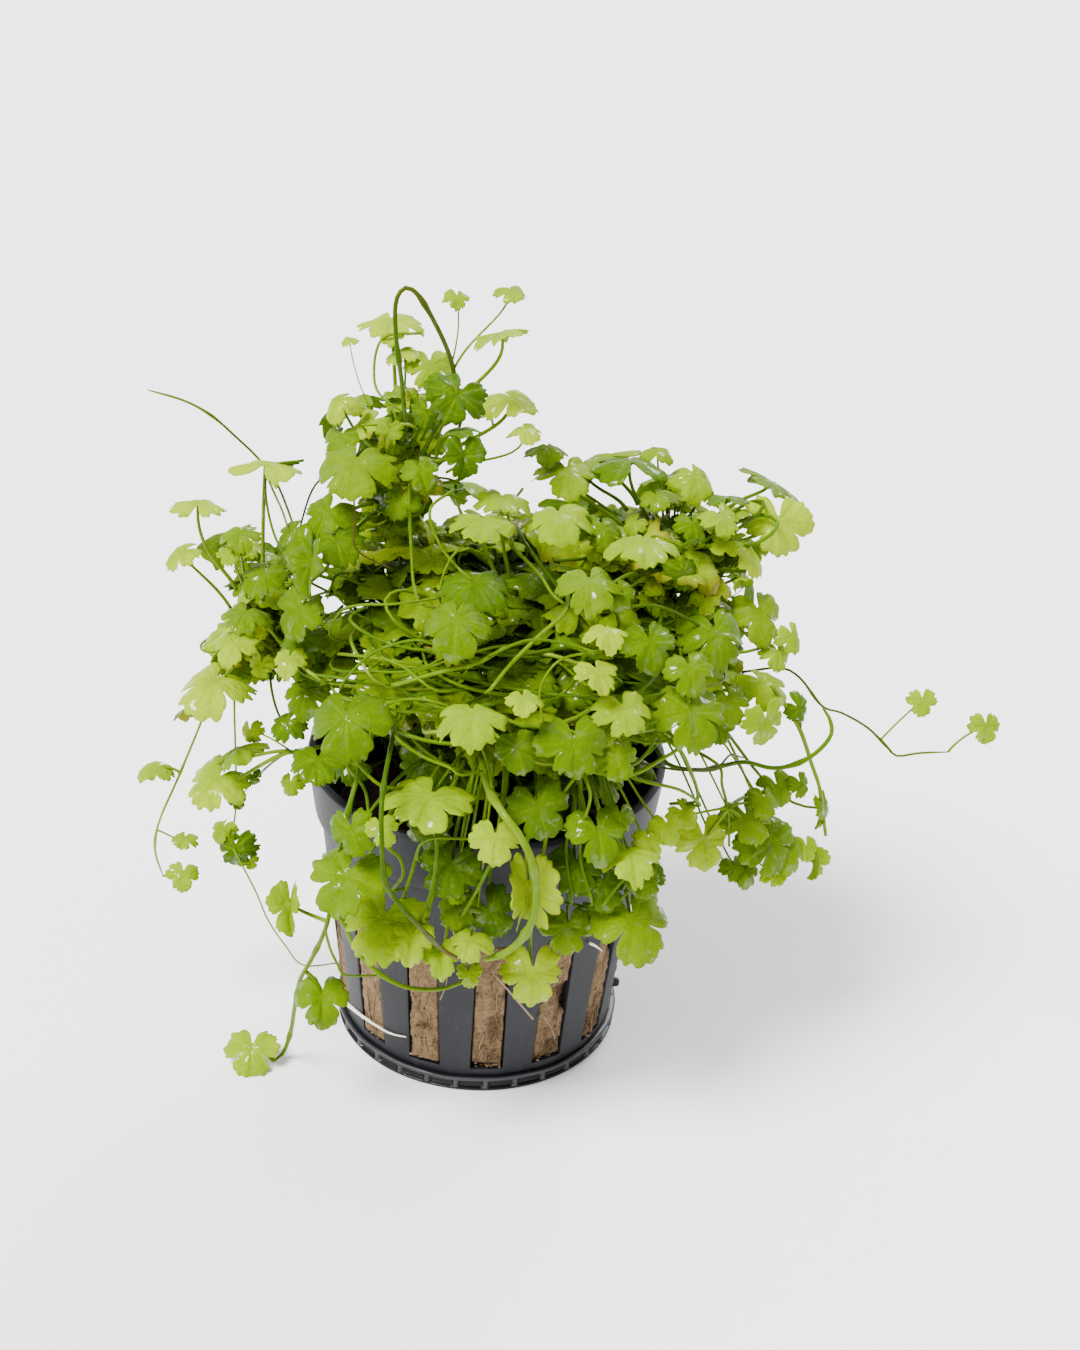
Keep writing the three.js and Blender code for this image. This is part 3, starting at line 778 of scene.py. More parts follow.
def add_plug(heap):
    columns = (SLOTS, FIRST_SLOT, SLOT_WIDTH, PLUG_COLUMNS, PLUG_SLOT_COLUMNS)
    angle = hole_columns(BODY_FOOT_RADIUS, *columns)
    heights = np.linspace(FLOOR + GAP, PLUG_TOP - 1.6 * MM, PLUG_ROWS)
    rings, wet_and_shade_marks = [around_axis(angle, body_radius(heights[0]) * 0.5, heights[0])], [np.ones(PLUG_COLUMNS)]
    for height in heights:
        ring, wet = plug_surface(hole_columns(body_radius(height), *columns), np.full(PLUG_COLUMNS, height))
        rings.append(ring)
        wet_and_shade_marks.append(wet)
    for share in np.linspace(0.97, 0.04, PLUG_TOP_RINGS):
        top = around_axis(angle, body_radius(PLUG_TOP) * share - WALL - GAP * share, PLUG_TOP)
        drop = 1.4 * MM * max(share - 0.85, 0) / 0.12
        top[:, 2] += (1.6 * rough(top, 3 * MM, 6) + 1.6 * felt(top) - 1.2) * MM - drop
        rings.append(top)
        # The plug's top gets a wet mark above 1, which paints it near black: painted shade in the pot's
        # mouth.
        wet_and_shade_marks.append(np.full(PLUG_COLUMNS, 1.2))
    points = np.vstack([*rings, [[0, 0, FLOOR + GAP], [0, 0, PLUG_TOP - MM]]])
    heap.add(points, capped_faces(len(rings), PLUG_COLUMNS), wet=np.concatenate([*wet_and_shade_marks, [1.0, 1.0]]))


plug_heap = Heap(("tone", "wet"))
add_plug(plug_heap)
print("plug points:", plug_heap.count)

# %% Fibres, straw and roots
FIBRES_IN_SLOT = 16
CRUMBS_ON_SILL = 10
STRAWS = [
    ([(496, 976), (515, 998), (533, 1019)], 0.15, 0.0),
    ([(541, 1013), (550, 1026), (555, 1038)], 0.09, 0.3),
    ([(538, 1018), (547, 1010), (556, 1004)], 0.08, 0.4),
    ([(438, 978), (446, 974), (452, 971)], 0.10, 0.0),
    ([(448, 966), (446, 985), (440, 1000)], 0.07, 0.2),
]
ROOTS = [
    ([(346, 1003), (362, 1016), (380, 1028), (392, 1034), (406, 1037)], 0.34, 0.35),
    ([(590, 943), (597, 947), (602, 951)], 0.24, 0.5),
]


def add_fibres(heap, rng):
    """Short loose fibres on the coir in each slot."""
    for middle in SLOT_MIDDLES:
        for _ in range(FIBRES_IN_SLOT):
            height = rng.uniform(SLOT_BOTTOM + MM, SLOT_TOP - MM)
            angle = middle + rng.uniform(-1.5, 1.5) * MM / BODY_FOOT_RADIUS
            slant = rng.uniform(-1, 1)
            length = rng.uniform(0.8, 2.2) * MM
            steps = np.linspace(-1, 1, 7)
            heights = np.clip(height + length * steps, SLOT_BOTTOM + 0.5 * MM, SLOT_TOP - 0.5 * MM)
            sideways = np.clip(slant * steps + 0.3 * steps ** 2, -1.2, 1.2) * 0.6 * MM
            path, _ = plug_surface(angle + sideways / BODY_FOOT_RADIUS, heights)
            path = path * np.array([1.008, 1.008, 1.0])
            add_tube(heap, path, rng.uniform(0.04, 0.09) * MM, 4, 0, wet=rng.uniform(-0.5, 0.4))


def add_crumbs(heap, rng):
    """Crumbs of coir that have fallen on each slot's sill."""
    for middle in SLOT_MIDDLES:
        for _ in range(CRUMBS_ON_SILL):
            size = rng.uniform(0.12, 0.24) * MM
            height = SLOT_BOTTOM + size * rng.uniform(0.9, 2.6)
            angle = middle + rng.uniform(-0.4, 0.4) * SLOT_WIDTH / BODY_FOOT_RADIUS
            start = around_axis(angle, body_radius(height) - rng.uniform(0.2, 0.9) * MM, height)
            spread = rng.normal(0, 1, 3) * np.array([3.0, 1.0, 0.5]) * size
            path = start + np.linspace(0, 1, 4)[:, None] * spread
            add_tube(heap, path, size * np.array([0.5, 1.0, 0.9, 0.4]), 6, 0, wet=rng.uniform(-0.1, 0.5))


def add_roots(heap):
    for picks, radius, wet in STRAWS:
        knots = [on_wall(*pick, 0.2 + 0.5 * number) for number, pick in enumerate(picks)]
        add_tube(heap, through(knots, 8), radius * MM, 6, 0, wet=wet - 0.6)
    for picks, radius, clear in ROOTS:
        path = through([on_wall(*pick, clear) for pick in picks], 14)
        add_tube(heap, path, radius * MM * np.linspace(1, 0.3, len(path)), 8, 1)


add_fibres(plug_heap, np.random.default_rng(SEED + 1))
add_crumbs(plug_heap, np.random.default_rng(SEED + 2))
add_roots(plug_heap)
coir = plug_heap.object("coir_and_roots", [coir_material, root_material])
attach(coir, "coir", "coir_plug")
print("coir faces:", len(coir.data.polygons))

# %% [markdown]
# ## One blade
# The blade is a fan of three lobes cut deep towards the petiole, the side lobes split once more, and the
# whole edge set with shallow round teeth. Its outline is a formula in polar form: a lobe's arch, minus the
# splits, times the teeth. Each leaf draws its own lobe lengths and tooth width, because no two real leaves
# match. Rings of that outline from the middle to the edge give a grid that can be domed, folded and waved.
# Top and underside are two walls that meet at a thin edge, because a real blade has a thickness and an
# export needs closed meshes.

# %% Blade outline
CUT = 57.0
SIDE_LOBE = 114.0
LOBES = (0.0, 84.0, 142.0, -84.0, -142.0)
SPLITS = [(19.0, 4.5, 0.10), (108.0, 5.0, 0.20), (82.0, 4.0, 0.08), (140.0, 4.5, 0.11)]
VEINS = np.array([0.0, 86.0, 138.0])
BRANCHES = np.array([22.0, 66.0, 104.0, 162.0])
VEIN_SORTS = [(VEINS, 0.24 * MM, 1.0), (BRANCHES, 0.15 * MM, 0.55)]
TOOTH_WIDTHS = [15.0, 18.0, 20.0]
TOOTH_DEPTH = 0.11
LOBE_SPREAD = 30


def outline(degrees, rng):
    """How far the edge is from the petiole, as a share of the blade's radius."""
    away = np.abs(degrees)
    share = np.where(away < CUT, away / CUT, np.abs(away - SIDE_LOBE) / (SIDE_LOBE - CUT))
    floor = np.where(away > SIDE_LOBE, 0.2, rng.uniform(0.3, 0.5))
    reach = floor + (1 - floor) * (1 - np.clip(share, 0, 1) ** 4) ** 0.55
    for side in (-1, 1):
        for place, width, cut in SPLITS:
            reach = reach - rng.uniform(0.3, 1.3) * cut * np.exp(-((side * degrees - place) / width) ** 2)
    for lobe in LOBES:
        reach = reach * (1 + rng.normal(0, 0.07) * np.exp(-((degrees - lobe) / LOBE_SPREAD) ** 2))
    angle = np.radians(degrees)
    uneven = degrees + 5 * np.sin(2 * angle + rng.uniform(0, 6)) + 3 * np.sin(5 * angle + rng.uniform(0, 6))
    tooth = np.abs(np.sin(np.pi * (uneven + rng.uniform(0, 20)) / rng.choice(TOOTH_WIDTHS)))
    deep = TOOTH_DEPTH + 0.04 * np.sin(3 * angle + rng.uniform(0, 6))
    return reach * (1 - deep + deep * tooth ** 0.7)


def vein_marks(degrees, shares, radius):
    """1 on a vein and 0 between veins, for each ring and angle."""
    away = np.abs(degrees)[None, :]
    reach = shares[:, None] * radius
    marks = np.zeros((len(shares), len(degrees)))
    for veins, width, strength in VEIN_SORTS:
        for vein in veins:
            off = reach * np.radians(np.minimum(np.abs(away - vein), 60.0))
            marks = np.maximum(marks, strength * np.exp(-(off / width) ** 2))
    return marks * np.clip(shares * 12, 0, 1)[:, None]


print("widest share", round(float(outline(np.arange(-180.0, 180.0), np.random.default_rng(0)).max()), 2))

# %% Blade mesh
THICKNESS = 0.22 * MM
RUFFLES = [(2, 0.07), (3, 0.09), (5, 0.06), (9, 0.035)]
VEIN_DEPTH = 0.03 * MM
DROOP, DROOP_SPREAD = 0.16, 32
DIMPLE, DIMPLE_WIDTH = 0.05, 0.16
PUCKER, PUCKER_PITCH = 0.016, 43.0
EDGE_THICKNESS = 0.45


def blade_faces(rings, around):
    """Faces of a blade: two fans and rings of quads, top and underside, and the edge between them."""
    faces = []
    under = 1 + rings * around
    for k in range(around):
        after = (k + 1) % around
        faces.append((0, 1 + k, 1 + after))
        faces.append((under, under + 1 + after, under + 1 + k))
        for ring in range(rings - 1):
            a, b = 1 + ring * around + k, 1 + ring * around + after
            faces.append((a, a + around, b + around, b))
            faces.append((under + b, under + b + around, under + a + around, under + a))
        a, b = 1 + (rings - 1) * around + k, 1 + (rings - 1) * around + after
        faces.append((a, under + a, under + b, b))
    return faces


BLADE_FACES = {}


def add_blade(heap, place, normal, tip, width, rng, tone, rings, around, dome=0.5, fold=0.0, wither=0.0):
    """A blade with its petiole's top at place, facing normal, with its middle lobe towards tip."""
    radius = width / 2
    degrees = np.linspace(-180.0, 180.0, around, endpoint=False)
    angle = np.radians(degrees)
    shares = np.linspace(0.0, 1.0, rings + 1)[1:] ** 0.85
    reach = shares[:, None] * outline(degrees, rng)[None, :]
    bend = max(abs(dome), 0.05)
    flat = np.sin(bend * reach) / bend
    height = math.copysign(1, -dome) * (1 - np.cos(bend * reach)) / bend
    waves = sum(size * np.sin(turns * angle + rng.uniform(0, 6)) for turns, size in RUFFLES)
    for lobe in LOBES:
        waves = waves - abs(rng.normal(0, DROOP)) * np.exp(-((degrees - lobe) / DROOP_SPREAD) ** 2)
    height = height + waves[None, :] * reach ** 2
    height = height - DIMPLE * np.exp(-(reach / DIMPLE_WIDTH) ** 2)
    veins = vein_marks(degrees, shares, radius)
    between = np.abs(np.sin(np.radians(degrees * 180 / PUCKER_PITCH)))
    height = height + PUCKER * between[None, :] * reach * (1.1 - reach)
    x, y = flat * np.cos(angle), flat * np.sin(angle)
    z = (height + np.abs(y) * math.sin(fold)) * radius - veins * VEIN_DEPTH
    y = y * math.cos(fold)
    side = np.cross(normal, tip)
    grid = place + (x * radius)[..., None] * tip + (y * radius)[..., None] * side + z[..., None] * normal
    grid = grid.reshape(-1, 3)
    thick = np.repeat(np.linspace(1.0, EDGE_THICKNESS, rings), around)[:, None] * THICKNESS / 2
    middle = place - DIMPLE * radius * normal
    points = np.vstack([
        middle + normal * THICKNESS / 2, grid + normal * thick,
        middle - normal * THICKNESS / 2, grid - normal * thick,
    ])
    grid_size = rings, around
    if grid_size not in BLADE_FACES:
        BLADE_FACES[grid_size] = blade_faces(*grid_size)
    wall = np.concatenate([[0.3], veins.ravel()])
    share = np.concatenate([[0.0], np.repeat(shares, around)])
    spots = wither * np.clip(np.concatenate([[0.0], reach.ravel()]) * 1.6 - 0.7, 0, 1)
    heap.add(
        points, BLADE_FACES[grid_size], BLADE,
        tone=tone, vein=np.tile(wall, 2), rim=np.tile(share, 2),
        under=np.repeat([0.0, 1.0], len(wall)), wither=np.tile(spots, 2),
    )


print("blade wall", THICKNESS / MM, "mm")

# %% [markdown]
# ## A whole leaf
# The petiole meets the blade from below. It leaves along the blade's own direction and bends down to the
# stem that carries it. Where a leaf hangs against the pot, its petiole climbs behind the blade first and
# then goes in over the rim. The directions are a compass turn and a lift, as in the solids. Large leaves
# get a fine grid and small ones a coarse one, so that the whole plant stays light.

# %% Whole leaf
PETIOLE_RADIUS = 0.27 * MM
PETIOLE_TAPER = 0.8, 1.2
PETIOLE_SWAY = 0.4 * MM
HOOK_DEPTH, BEHIND_DEPTH = 1.6 * MM, 1.2 * MM
RIM_CLEAR = POT_HEIGHT + 10 * MM
DETAIL = {
    "large": dict(rings=6, around=120, steps=16, sides=8),
    "small": dict(rings=5, around=84, steps=12, sides=6),
    "crowd": dict(rings=3, around=60, steps=6, sides=4),
    "deep": dict(rings=2, around=40, steps=4, sides=3),
}


def direction(turn, lift):
    """Turn 0 is towards the viewer and 90 to the right; lift 90 is straight up."""
    a, b = math.radians(turn), math.radians(lift)
    return np.array([math.sin(a) * math.cos(b), -math.cos(a) * math.cos(b), math.sin(b)])


def unit(vector):
    return vector / np.linalg.norm(vector)


def downhill(normal):
    """The way water would run off a blade."""
    level = -UP + normal * np.dot(UP, normal)
    if np.linalg.norm(level) < 0.05:
        level = np.array([0.0, -1.0, 0.0]) + normal * normal[1]
    return unit(level)


def petiole_path(place, normal, radius, root, hangs, steps):
    start = place - normal * DIMPLE * radius
    length = np.linalg.norm(root - start)
    if hangs:
        down = downhill(normal)
        outward = unit(place * np.array([1.0, 1.0, 0.0]))
        hook = place - normal * HOOK_DEPTH - down * 0.15 * radius
        behind = place - normal * BEHIND_DEPTH - down * 1.1 * radius
        over_rim = root + UP * MM + outward * 0.4 * length
        return through([start, hook, behind, over_rim, root], steps)
    below = start - normal * 0.35 * length
    arch = start + (root - start) * 0.7 + UP * 0.1 * length
    return bezier([start, below, arch, root], steps)


def add_leaf(heap, place, facing, spin, width, root, rng, tone, detail, hangs=False, **looks):
    """A blade and its petiole."""
    grid = DETAIL[detail]
    tip = turned(downhill(facing), facing, math.radians(spin))
    add_blade(heap, place, facing, tip, width, rng, tone, grid["rings"], grid["around"], **looks)
    steps = grid["steps"]
    path = petiole_path(place, facing, width / 2, root, hangs, steps)
    sway = np.sin(np.linspace(0, math.pi, steps + 1))[:, None] * rng.normal(0, PETIOLE_SWAY, 3)
    radii = min(PETIOLE_RADIUS, 0.032 * width) * np.linspace(*PETIOLE_TAPER, steps + 1)
    add_tube(heap, path + sway, radii, grid["sides"], tone=0.3 + 0.55 * tone)


print("petiole", 2 * PETIOLE_RADIUS / MM, "mm thick")

# %% [markdown]
# ## Leaves that the eye knows
# The large outer leaves give the plant its face, so each is placed one by one. A row has the pixel of its
# middle and its depth, its width in millimetres, and the turn, lift and spin that it faces with, all as in
# the solids. Then come numbers for the look alone: tone, dome and, where the leaf is folded, the fold. A
# run of leaves shares a series, which numbers them, and the mass or runner that carries them.

# %% Large leaves
# A low tone in these rows is partly painted shade for a leaf in shade, a high one partly painted light for a
# leaf lit from behind.
LEAVES = [
    ("spire", "spire", [
        (391, 320, 12, 9.6, -20, 86, 20, 0.97, 0.4), (501, 333, 0.5, 8.8, -120, 68, 30, 0.93, 0.5, 0.1),
        (430, 364, 7.5, 8.2, 10, 55, 0, 0.86, 0.7), (340, 400, 4, 7.2, -40, 62, 0, 0.94, 1.2),
        (512, 397, 5, 8.6, 20, 84, 20, 0.95, 0.4), (457, 395, -4, 8.4, 10, 48, -30, 0.25, 0.5, 0.1),
        (355, 463, -6, 12.2, -25, 62, 15, 0.68, 0.7, 0.1), (464, 455, -9, 7, 20, 14, 0, 0.3, 0.6, 0.5),
    ]),
    ("left", "left_shoulder", [
        (265, 463, 1, 11, 175, 80, 0, 0.97, 0.4), (198, 503, 2, 8.8, 180, 84, 0, 0.95, 0.5),
        (180, 552, 0, 6.8, -60, 62, 0, 0.95, 0.6, 0.1), (240, 533, -8, 6.4, -20, 74, 20, 0.64, 0.7),
        (312, 562, -14, 11.5, -45, 20, 10, 0.48, 0.5, 0.8), (234, 643, -14, 6.8, -20, 55, 0, 0.93, 0.6),
        (214, 680, -10, 12.5, -30, 82, 10, 0.97, 0.5), (216, 779, -13, 9.4, -20, 66, -15, 0.93, 0.4),
        (235, 848, -2, 7.2, -10, 18, 0, 0.28, 0.8, 0.1),
    ]),
    ("trail", "runner_lower_left", [
        (290, 905, -28, 9, -30, 35, 20, 0.8, 0.4, 0.9), (322, 997, -28, 10.4, 8, 50, 0, 0.6, 1.1, 0.5),
        (252, 1048, -18, 9, -10, 62, 10, 0.88, 0.4, 0.1),
    ]),
    ("front", "mound", [
        (346, 718, -28, 12, -15, 55, 15, 0.48, 0.6), (430, 797, -31, 13, -5, 82, -10, 0.86, 0.3),
        (347, 876, -36.5, 12.4, -20, 58, 0, 0.6, 0.6, 0.1),
        (384, 918, -31.5, 13, -10, 68, 0, 0.88, 0.5, 0.1),
        (528, 890, -30.4, 14.5, 15, 10, 0, 1.0, 0.3, 1.0), (634, 920, -30, 12.4, 15, 50, 10, 0.7, 0.6),
        (533, 973, -29.5, 9.4, 5, 32, 0, 0.96, 0.4, 0.1), (598, 832, -33, 9, 20, 55, 0, 0.5, 0.6, 0.2),
    ]),
    ("middle", "mound", [
        (457, 621, -26, 11.6, -5, 55, 0, 0.55, 1.1), (574, 742, -33, 10, 10, 48, 0, 0.5, 0.5, 0.1),
        (472, 713, -33, 10.2, -5, 80, 10, 0.87, 0.8),
    ]),
    ("middle", "right_shoulder", [
        (590, 582, -18, 9.8, 10, 70, 0, 0.66, 0.6), (645, 541, -12, 10.2, 180, 88, 0, 0.87, 0.5),
    ]),
    ("middle", "mound", [(482, 521, -14, 8.5, -10, 82, 10, 0.85, 0.4)]),
    ("middle", "right_shoulder", [(558, 514, -8, 10, 5, 82, 0, 0.87, 0.6)]),
    ("right", "right_shoulder", [
        (567, 470, 4, 9.8, 0, 80, 10, 0.82, 0.5), (694, 475, 6, 9, 20, 68, 0, 0.85, 0.9),
        (779, 522, 6, 10, 10, 38, 0, 0.98, 0.3), (716, 633, -14, 11.2, 20, 55, 0, 0.5, 0.9, 0.1),
        (760, 613, -2, 9, 30, 42, 0, 0.74, 0.6),
    ]),
    ("right", "mound", [
        (692, 712, -24, 11.2, 20, 48, 0, 0.56, 0.6), (704, 840, -16.5, 8.8, 20, 26, 0, 0.94, 0.4, 0.1),
        (770, 845, -13, 10.2, 25, 40, 20, 0.56, 0.7, 0.1), (766, 722, -14, 7.4, 30, 14, 0, 0.86, 0.4, 0.1),
        (814, 862, -6, 6.4, 60, 8, 0, 0.9, 0.3, 0.9),
    ]),
]

# %% [markdown]
# ## Smaller leaves between them
# A second list fills the gaps that the eye would notice. They belong to the masses of small leaves, so they
# need no names: pixel and depth, width, turn and lift, tone and, where a leaf has them, its fold and how
# far its edge has withered.

# %% Placed small leaves
# A low tone in these rows is partly painted shade for a leaf in shade, a high one partly painted light for a
# leaf lit from behind.
PLACED = {
    "spire": [
        (404, 350, 9, 6, -60, 80, 0.95), (350, 339, 9, 2.8, -40, 80, 0.95),
        (525, 428, 0, 5.4, 10, 84, 0.97), (427, 412, -2, 5, 0, 30, 0.3),
        (389, 432, -2, 4.5, -20, 20, 0.7, 0.3), (457, 432, -6, 8, -120, 68, 0.4, 0.3),
        (441, 385, 2, 6, 0, 50, 0.4), (412, 396, 0, 3, 0, 20, 0.5, 0.8, 1),
        (385, 445, -3, 3, -20, 10, 0.5, 0.9, 1), (347, 485, -7, 2.2, -30, 40, 0.97, 0.6),
        (340, 436, 2, 6, -40, 60, 0.6), (420, 470, -6, 6, 0, 50, 0.55, 0.1),
        (400, 500, -6, 6, -10, 40, 0.45, 0.1), (328, 512, -4, 8, -20, 60, 0.55),
        (336, 540, -8, 9, -10, 70, 0.4),
    ],
    "left_shoulder": [
        (229, 552, -9, 4, -20, 60, 0.85), (262, 574, -10, 7, -20, 65, 0.5),
        (245, 613, -10, 7.5, -20, 82, 0.6), (192, 706, -8, 7, -120, 60, 0.5, 0, 0.7),
        (289, 659, -16, 5.2, -15, 62, 0.92), (261, 665, -10, 4.5, -20, 20, 0.9),
        (287, 722, -14, 6, -20, 60, 0.35), (250, 732, -10, 4.2, -20, 20, 0.95),
        (238, 748, -12, 8.8, -120, 66, 0.72), (253, 776, -10, 3, 0, 40, 0.4),
        (290, 784, -14, 4.2, -20, 30, 0.7), (237, 800, -10, 3, 0, 40, 0.4, 0.2),
        (222, 828, 0, 5, -30, 50, 0.9), (250, 861, -2, 3.2, 0, 30, 0.7),
        (300, 610, -14, 9, -40, 35, 0.5, 0.2), (306, 690, -14, 8, -20, 60, 0.5),
        (300, 640, -12, 8, -30, 55, 0.4), (316, 672, -12, 7, 0, 65, 0.35),
        (294, 530, -6, 6, -30, 60, 0.45),
    ],
    "mound": [
        (318, 760, -20, 8.5, -20, 75, 0.45), (352, 830, -36, 7.5, -20, 28, 0.5),
        (382, 828, -37, 5, -10, 50, 0.88), (430, 828, -29, 7, 0, 30, 0.3),
        (450, 866, -31, 9.8, -5, 40, 0.38), (455, 890, -32, 4.2, 0, 40, 0.6),
        (453, 918, -31, 4, 0, 40, 0.6), (495, 838, -35, 7.4, 0, 50, 0.92),
        (470, 940, -33, 6.8, -10, 72, 0.92), (469, 974, -31, 4.4, 0, 30, 0.85),
        (490, 912, -30, 8.5, 5, 35, 0.3), (568, 927, -30, 8, 5, 40, 0.58),
        (630, 853, -32, 9, 15, 84, 0.9), (645, 880, -30, 5.5, 20, 40, 0.5),
        (650, 840, -29, 5.2, 20, 55, 0.88), (620, 815, -30, 5.4, 15, 50, 0.45),
        (538, 806, -32, 10, 0, 38, 0.42), (668, 826, -27, 5.4, 20, 45, 0.88),
        (517, 748, -32, 6.8, 0, 42, 0.45), (616, 758, -31, 6.6, 10, 45, 0.58),
        (624, 709, -30, 8.4, 15, 62, 0.86), (523, 698, -33, 5.5, 0, 76, 0.93),
        (597, 671, -29, 6.3, 10, 72, 0.93), (607, 630, -26, 6.6, 10, 83, 0.93),
        (475, 583, -18, 11, 0, 76, 0.36), (502, 497, -8, 8, 180, 88, 0.86),
        (762, 681, -8, 9.6, 35, 74, 0.86), (721, 730, -16, 4.8, 20, 20, 0.28),
        (799, 708, -8, 5.2, 40, 30, 0.32), (778, 788, -8, 6.4, 35, 40, 0.6, 0.3),
        (801, 784, -7, 4.4, 40, 30, 0.55), (820, 808, -6, 7.5, 75, 10, 0.6, 0.8),
        (748, 818, -14, 8.5, 20, 60, 0.66), (807, 848, -9, 4.6, 30, 40, 0.92),
        (746, 872, -13, 5, 20, 40, 0.5), (775, 872, -12, 4.6, 20, 40, 0.9),
        (577, 866, -29, 9, 8, 45, 0.26), (604, 884, -29, 7.5, 12, 45, 0.32),
        (460, 905, -30, 6.5, 0, 45, 0.55), (648, 876, -28, 6.5, 20, 40, 0.36),
        (412, 938, -34, 8, -10, 60, 0.92, 0.5), (441, 956, -34, 7, 0, 60, 0.9, 0.6),
        (728, 700, -14, 7.5, 20, 50, 0.6), (684, 812, -18, 5.5, 20, 45, 0.9),
        (735, 868, -13, 5, 20, 45, 0.55), (790, 850, -11, 7, 30, 45, 0.7),
        (765, 800, -13, 6, 25, 50, 0.62),
    ],
    "right_shoulder": [
        (548, 447, 6, 7, 10, 86, 0.55), (630, 460, 4, 11.5, 180, 82, 0.36),
        (658, 450, 8, 5.5, 20, 84, 0.75), (657, 496, 0, 5, 10, 75, 0.65),
        (727, 497, 4, 7.4, 180, 79, 0.35), (722, 517, -2, 6.4, 25, 66, 0.85),
        (693, 524, -2, 5.5, 20, 50, 0.45), (602, 527, -6, 6.5, 10, 60, 0.48),
        (618, 592, -17, 5.8, 10, 50, 0.55), (683, 572, -6, 5.4, 20, 30, 0.28),
        (706, 601, -6, 4.6, 20, 40, 0.85), (793, 636, -2, 5.4, 40, 40, 0.86),
        (778, 653, -3, 5.4, 40, 50, 0.85), (650, 642, -20, 8.6, 15, 48, 0.42),
        (690, 668, -22, 8, 15, 55, 0.55),
    ],
}
large = sum(len(rows) for _, _, rows in LEAVES)
print("large leaves:", large, "and", sum(len(rows) for rows in PLACED.values()), "placed small ones")

# %% [markdown]
# ## Masses of small leaves
# Most of the plant is a crowd: hundreds of small leaves over a tangle of stems. In the solids each crowd is
# a lumpy ball. Here the same balls, from the same values, say where the leaves go: each leaf sits a few
# millimetres under the ball's skin, faces outward and up, and sends its petiole inward. Leaves deeper in
# are darker, which is painted shade, and broad near-black leaves deep inside paint the shade at the heart
# of the plant. The front of the mound has a hollow, where the skin is pressed in, its leaves are darkened
# with painted shade, and stems cross the gap; a ring of leaves fills the pot's mouth. A seeded generator
# makes the same plant on every run. A leaf well outside the rim grows from a fork of the stems, where one
# is close.

# %% Masses
MASSES = {
    "mound": dict(
        centre=(4, 2, 65), radii=(33, 29, 15.5), lumps=0.4, back=9, rise=34,
        hollow=dict(turn=-8, lift=31, spread=0.55, depth=8),
    ),
    "spire": dict(centre=(-14, 6, 87), radii=(9, 8, 13), lumps=1.9, back=3, rise=40),
    "left_shoulder": dict(centre=(-33, 2, 65), radii=(8, 12, 12), lumps=3.1, back=3, rise=50),
    "right_shoulder": dict(centre=(24, 6, 78), radii=(16, 14, 8), lumps=4.6, back=4, rise=58),
}
# dark counts the broad near-black leaves deep inside a crowd; their tone is painted shade.
CROWD = {
    "mound": dict(leaves=320, widths=(6, 12), dark=70, crossing=56, tone=0.84),
    "spire": dict(leaves=34, widths=(4.5, 9), dark=3, crossing=10, tone=1.0),
    "left_shoulder": dict(leaves=40, widths=(5, 9.5), dark=4, crossing=5, tone=1.0),
    "right_shoulder": dict(leaves=62, widths=(4, 9), dark=6, crossing=6, tone=0.98),
}
FORKS = [(728, 808, -15.7), (800, 730, -7.6), (292, 752, -14), (240, 866, -3)]
FORK_REACH = 11 * MM
FORK_RISE = 4 * MM
HANGING_REACH = RIM_RADIUS + 7 * MM
ROOT_SHARE, ROOT_DROP = 0.62, 3 * MM
HANGING_ROOT_SHARE = 0.4
LOWEST_ROOT = POT_HEIGHT + 4 * MM
BACK_LEAF_WIDTH = 11 * MM
BACK_LEAF_STALK = 4 * MM
DARK_LEAF_WIDTH = 12 * MM
DARK_LEAF_STALK = 6 * MM
CROWD_DEPTH = 6 * MM
# Painted shade: how far a crowd leaf's tone drops with its depth and in the mound's hollow.
DEEP_SHADE = 0.55
HOLLOW_SHADE = 0.38
TONE_SPREAD = 0.09
WITHERED_SHARE = 0.04


def centre_of(mass):
    return np.array(MASSES[mass]["centre"]) * MM


def radii_of(mass):
    return np.array(MASSES[mass]["radii"]) * MM


def hollow_share(mass, way):
    """1 in the middle of a mass's hollow and 0 far from it."""
    hollow = MASSES[mass].get("hollow")
    if not hollow:
        return 0.0
    angle = math.acos(np.clip(np.dot(way, direction(hollow["turn"], hollow["lift"])), -1, 1))
    return math.exp(-(angle / hollow["spread"]) ** 2)


def skin(mass, way, sink=0.0, pressed=1.0):
    """The point of a mass's lumpy ball in a direction, sunk below the skin by a length."""
    lumps = MASSES[mass]["lumps"]
    wave = sum(math.sin((5 + i) * way[i] + (1 + i) * lumps) for i in range(3))
    share = hollow_share(mass, way)
    if share:
        sink = sink + pressed * share * MASSES[mass]["hollow"]["depth"] * MM
    return centre_of(mass) + way * (radii_of(mass) * (1 + 0.04 * wave) - sink)


def climbs_rim(place):
    """Whether a petiole has to go up and in over the pot's rim."""
    return place[2] < RIM_CLEAR and math.hypot(place[0], place[1]) < HANGING_REACH


def inside_mass(mass, place):
    """The point inside a mass that a leaf's petiole comes from, above the rim for a leaf that hangs."""
    inward = centre_of(mass) - place
    if place[2] >= RIM_CLEAR:
        return place + inward * ROOT_SHARE - UP * ROOT_DROP
    root = place + inward * HANGING_ROOT_SHARE
    root[2] = RIM_CLEAR
    return root


def grown_from(mass, place):
    """The node or mass that a leaf grows from, and whether its petiole climbs over the rim."""
    for fork in FORKS:
        node = seen(*fork)
        if np.abs(place - node).max() < FORK_REACH and place[2] < node[2] + FORK_RISE:
            return node, False
    return inside_mass(mass, place), climbs_rim(place)


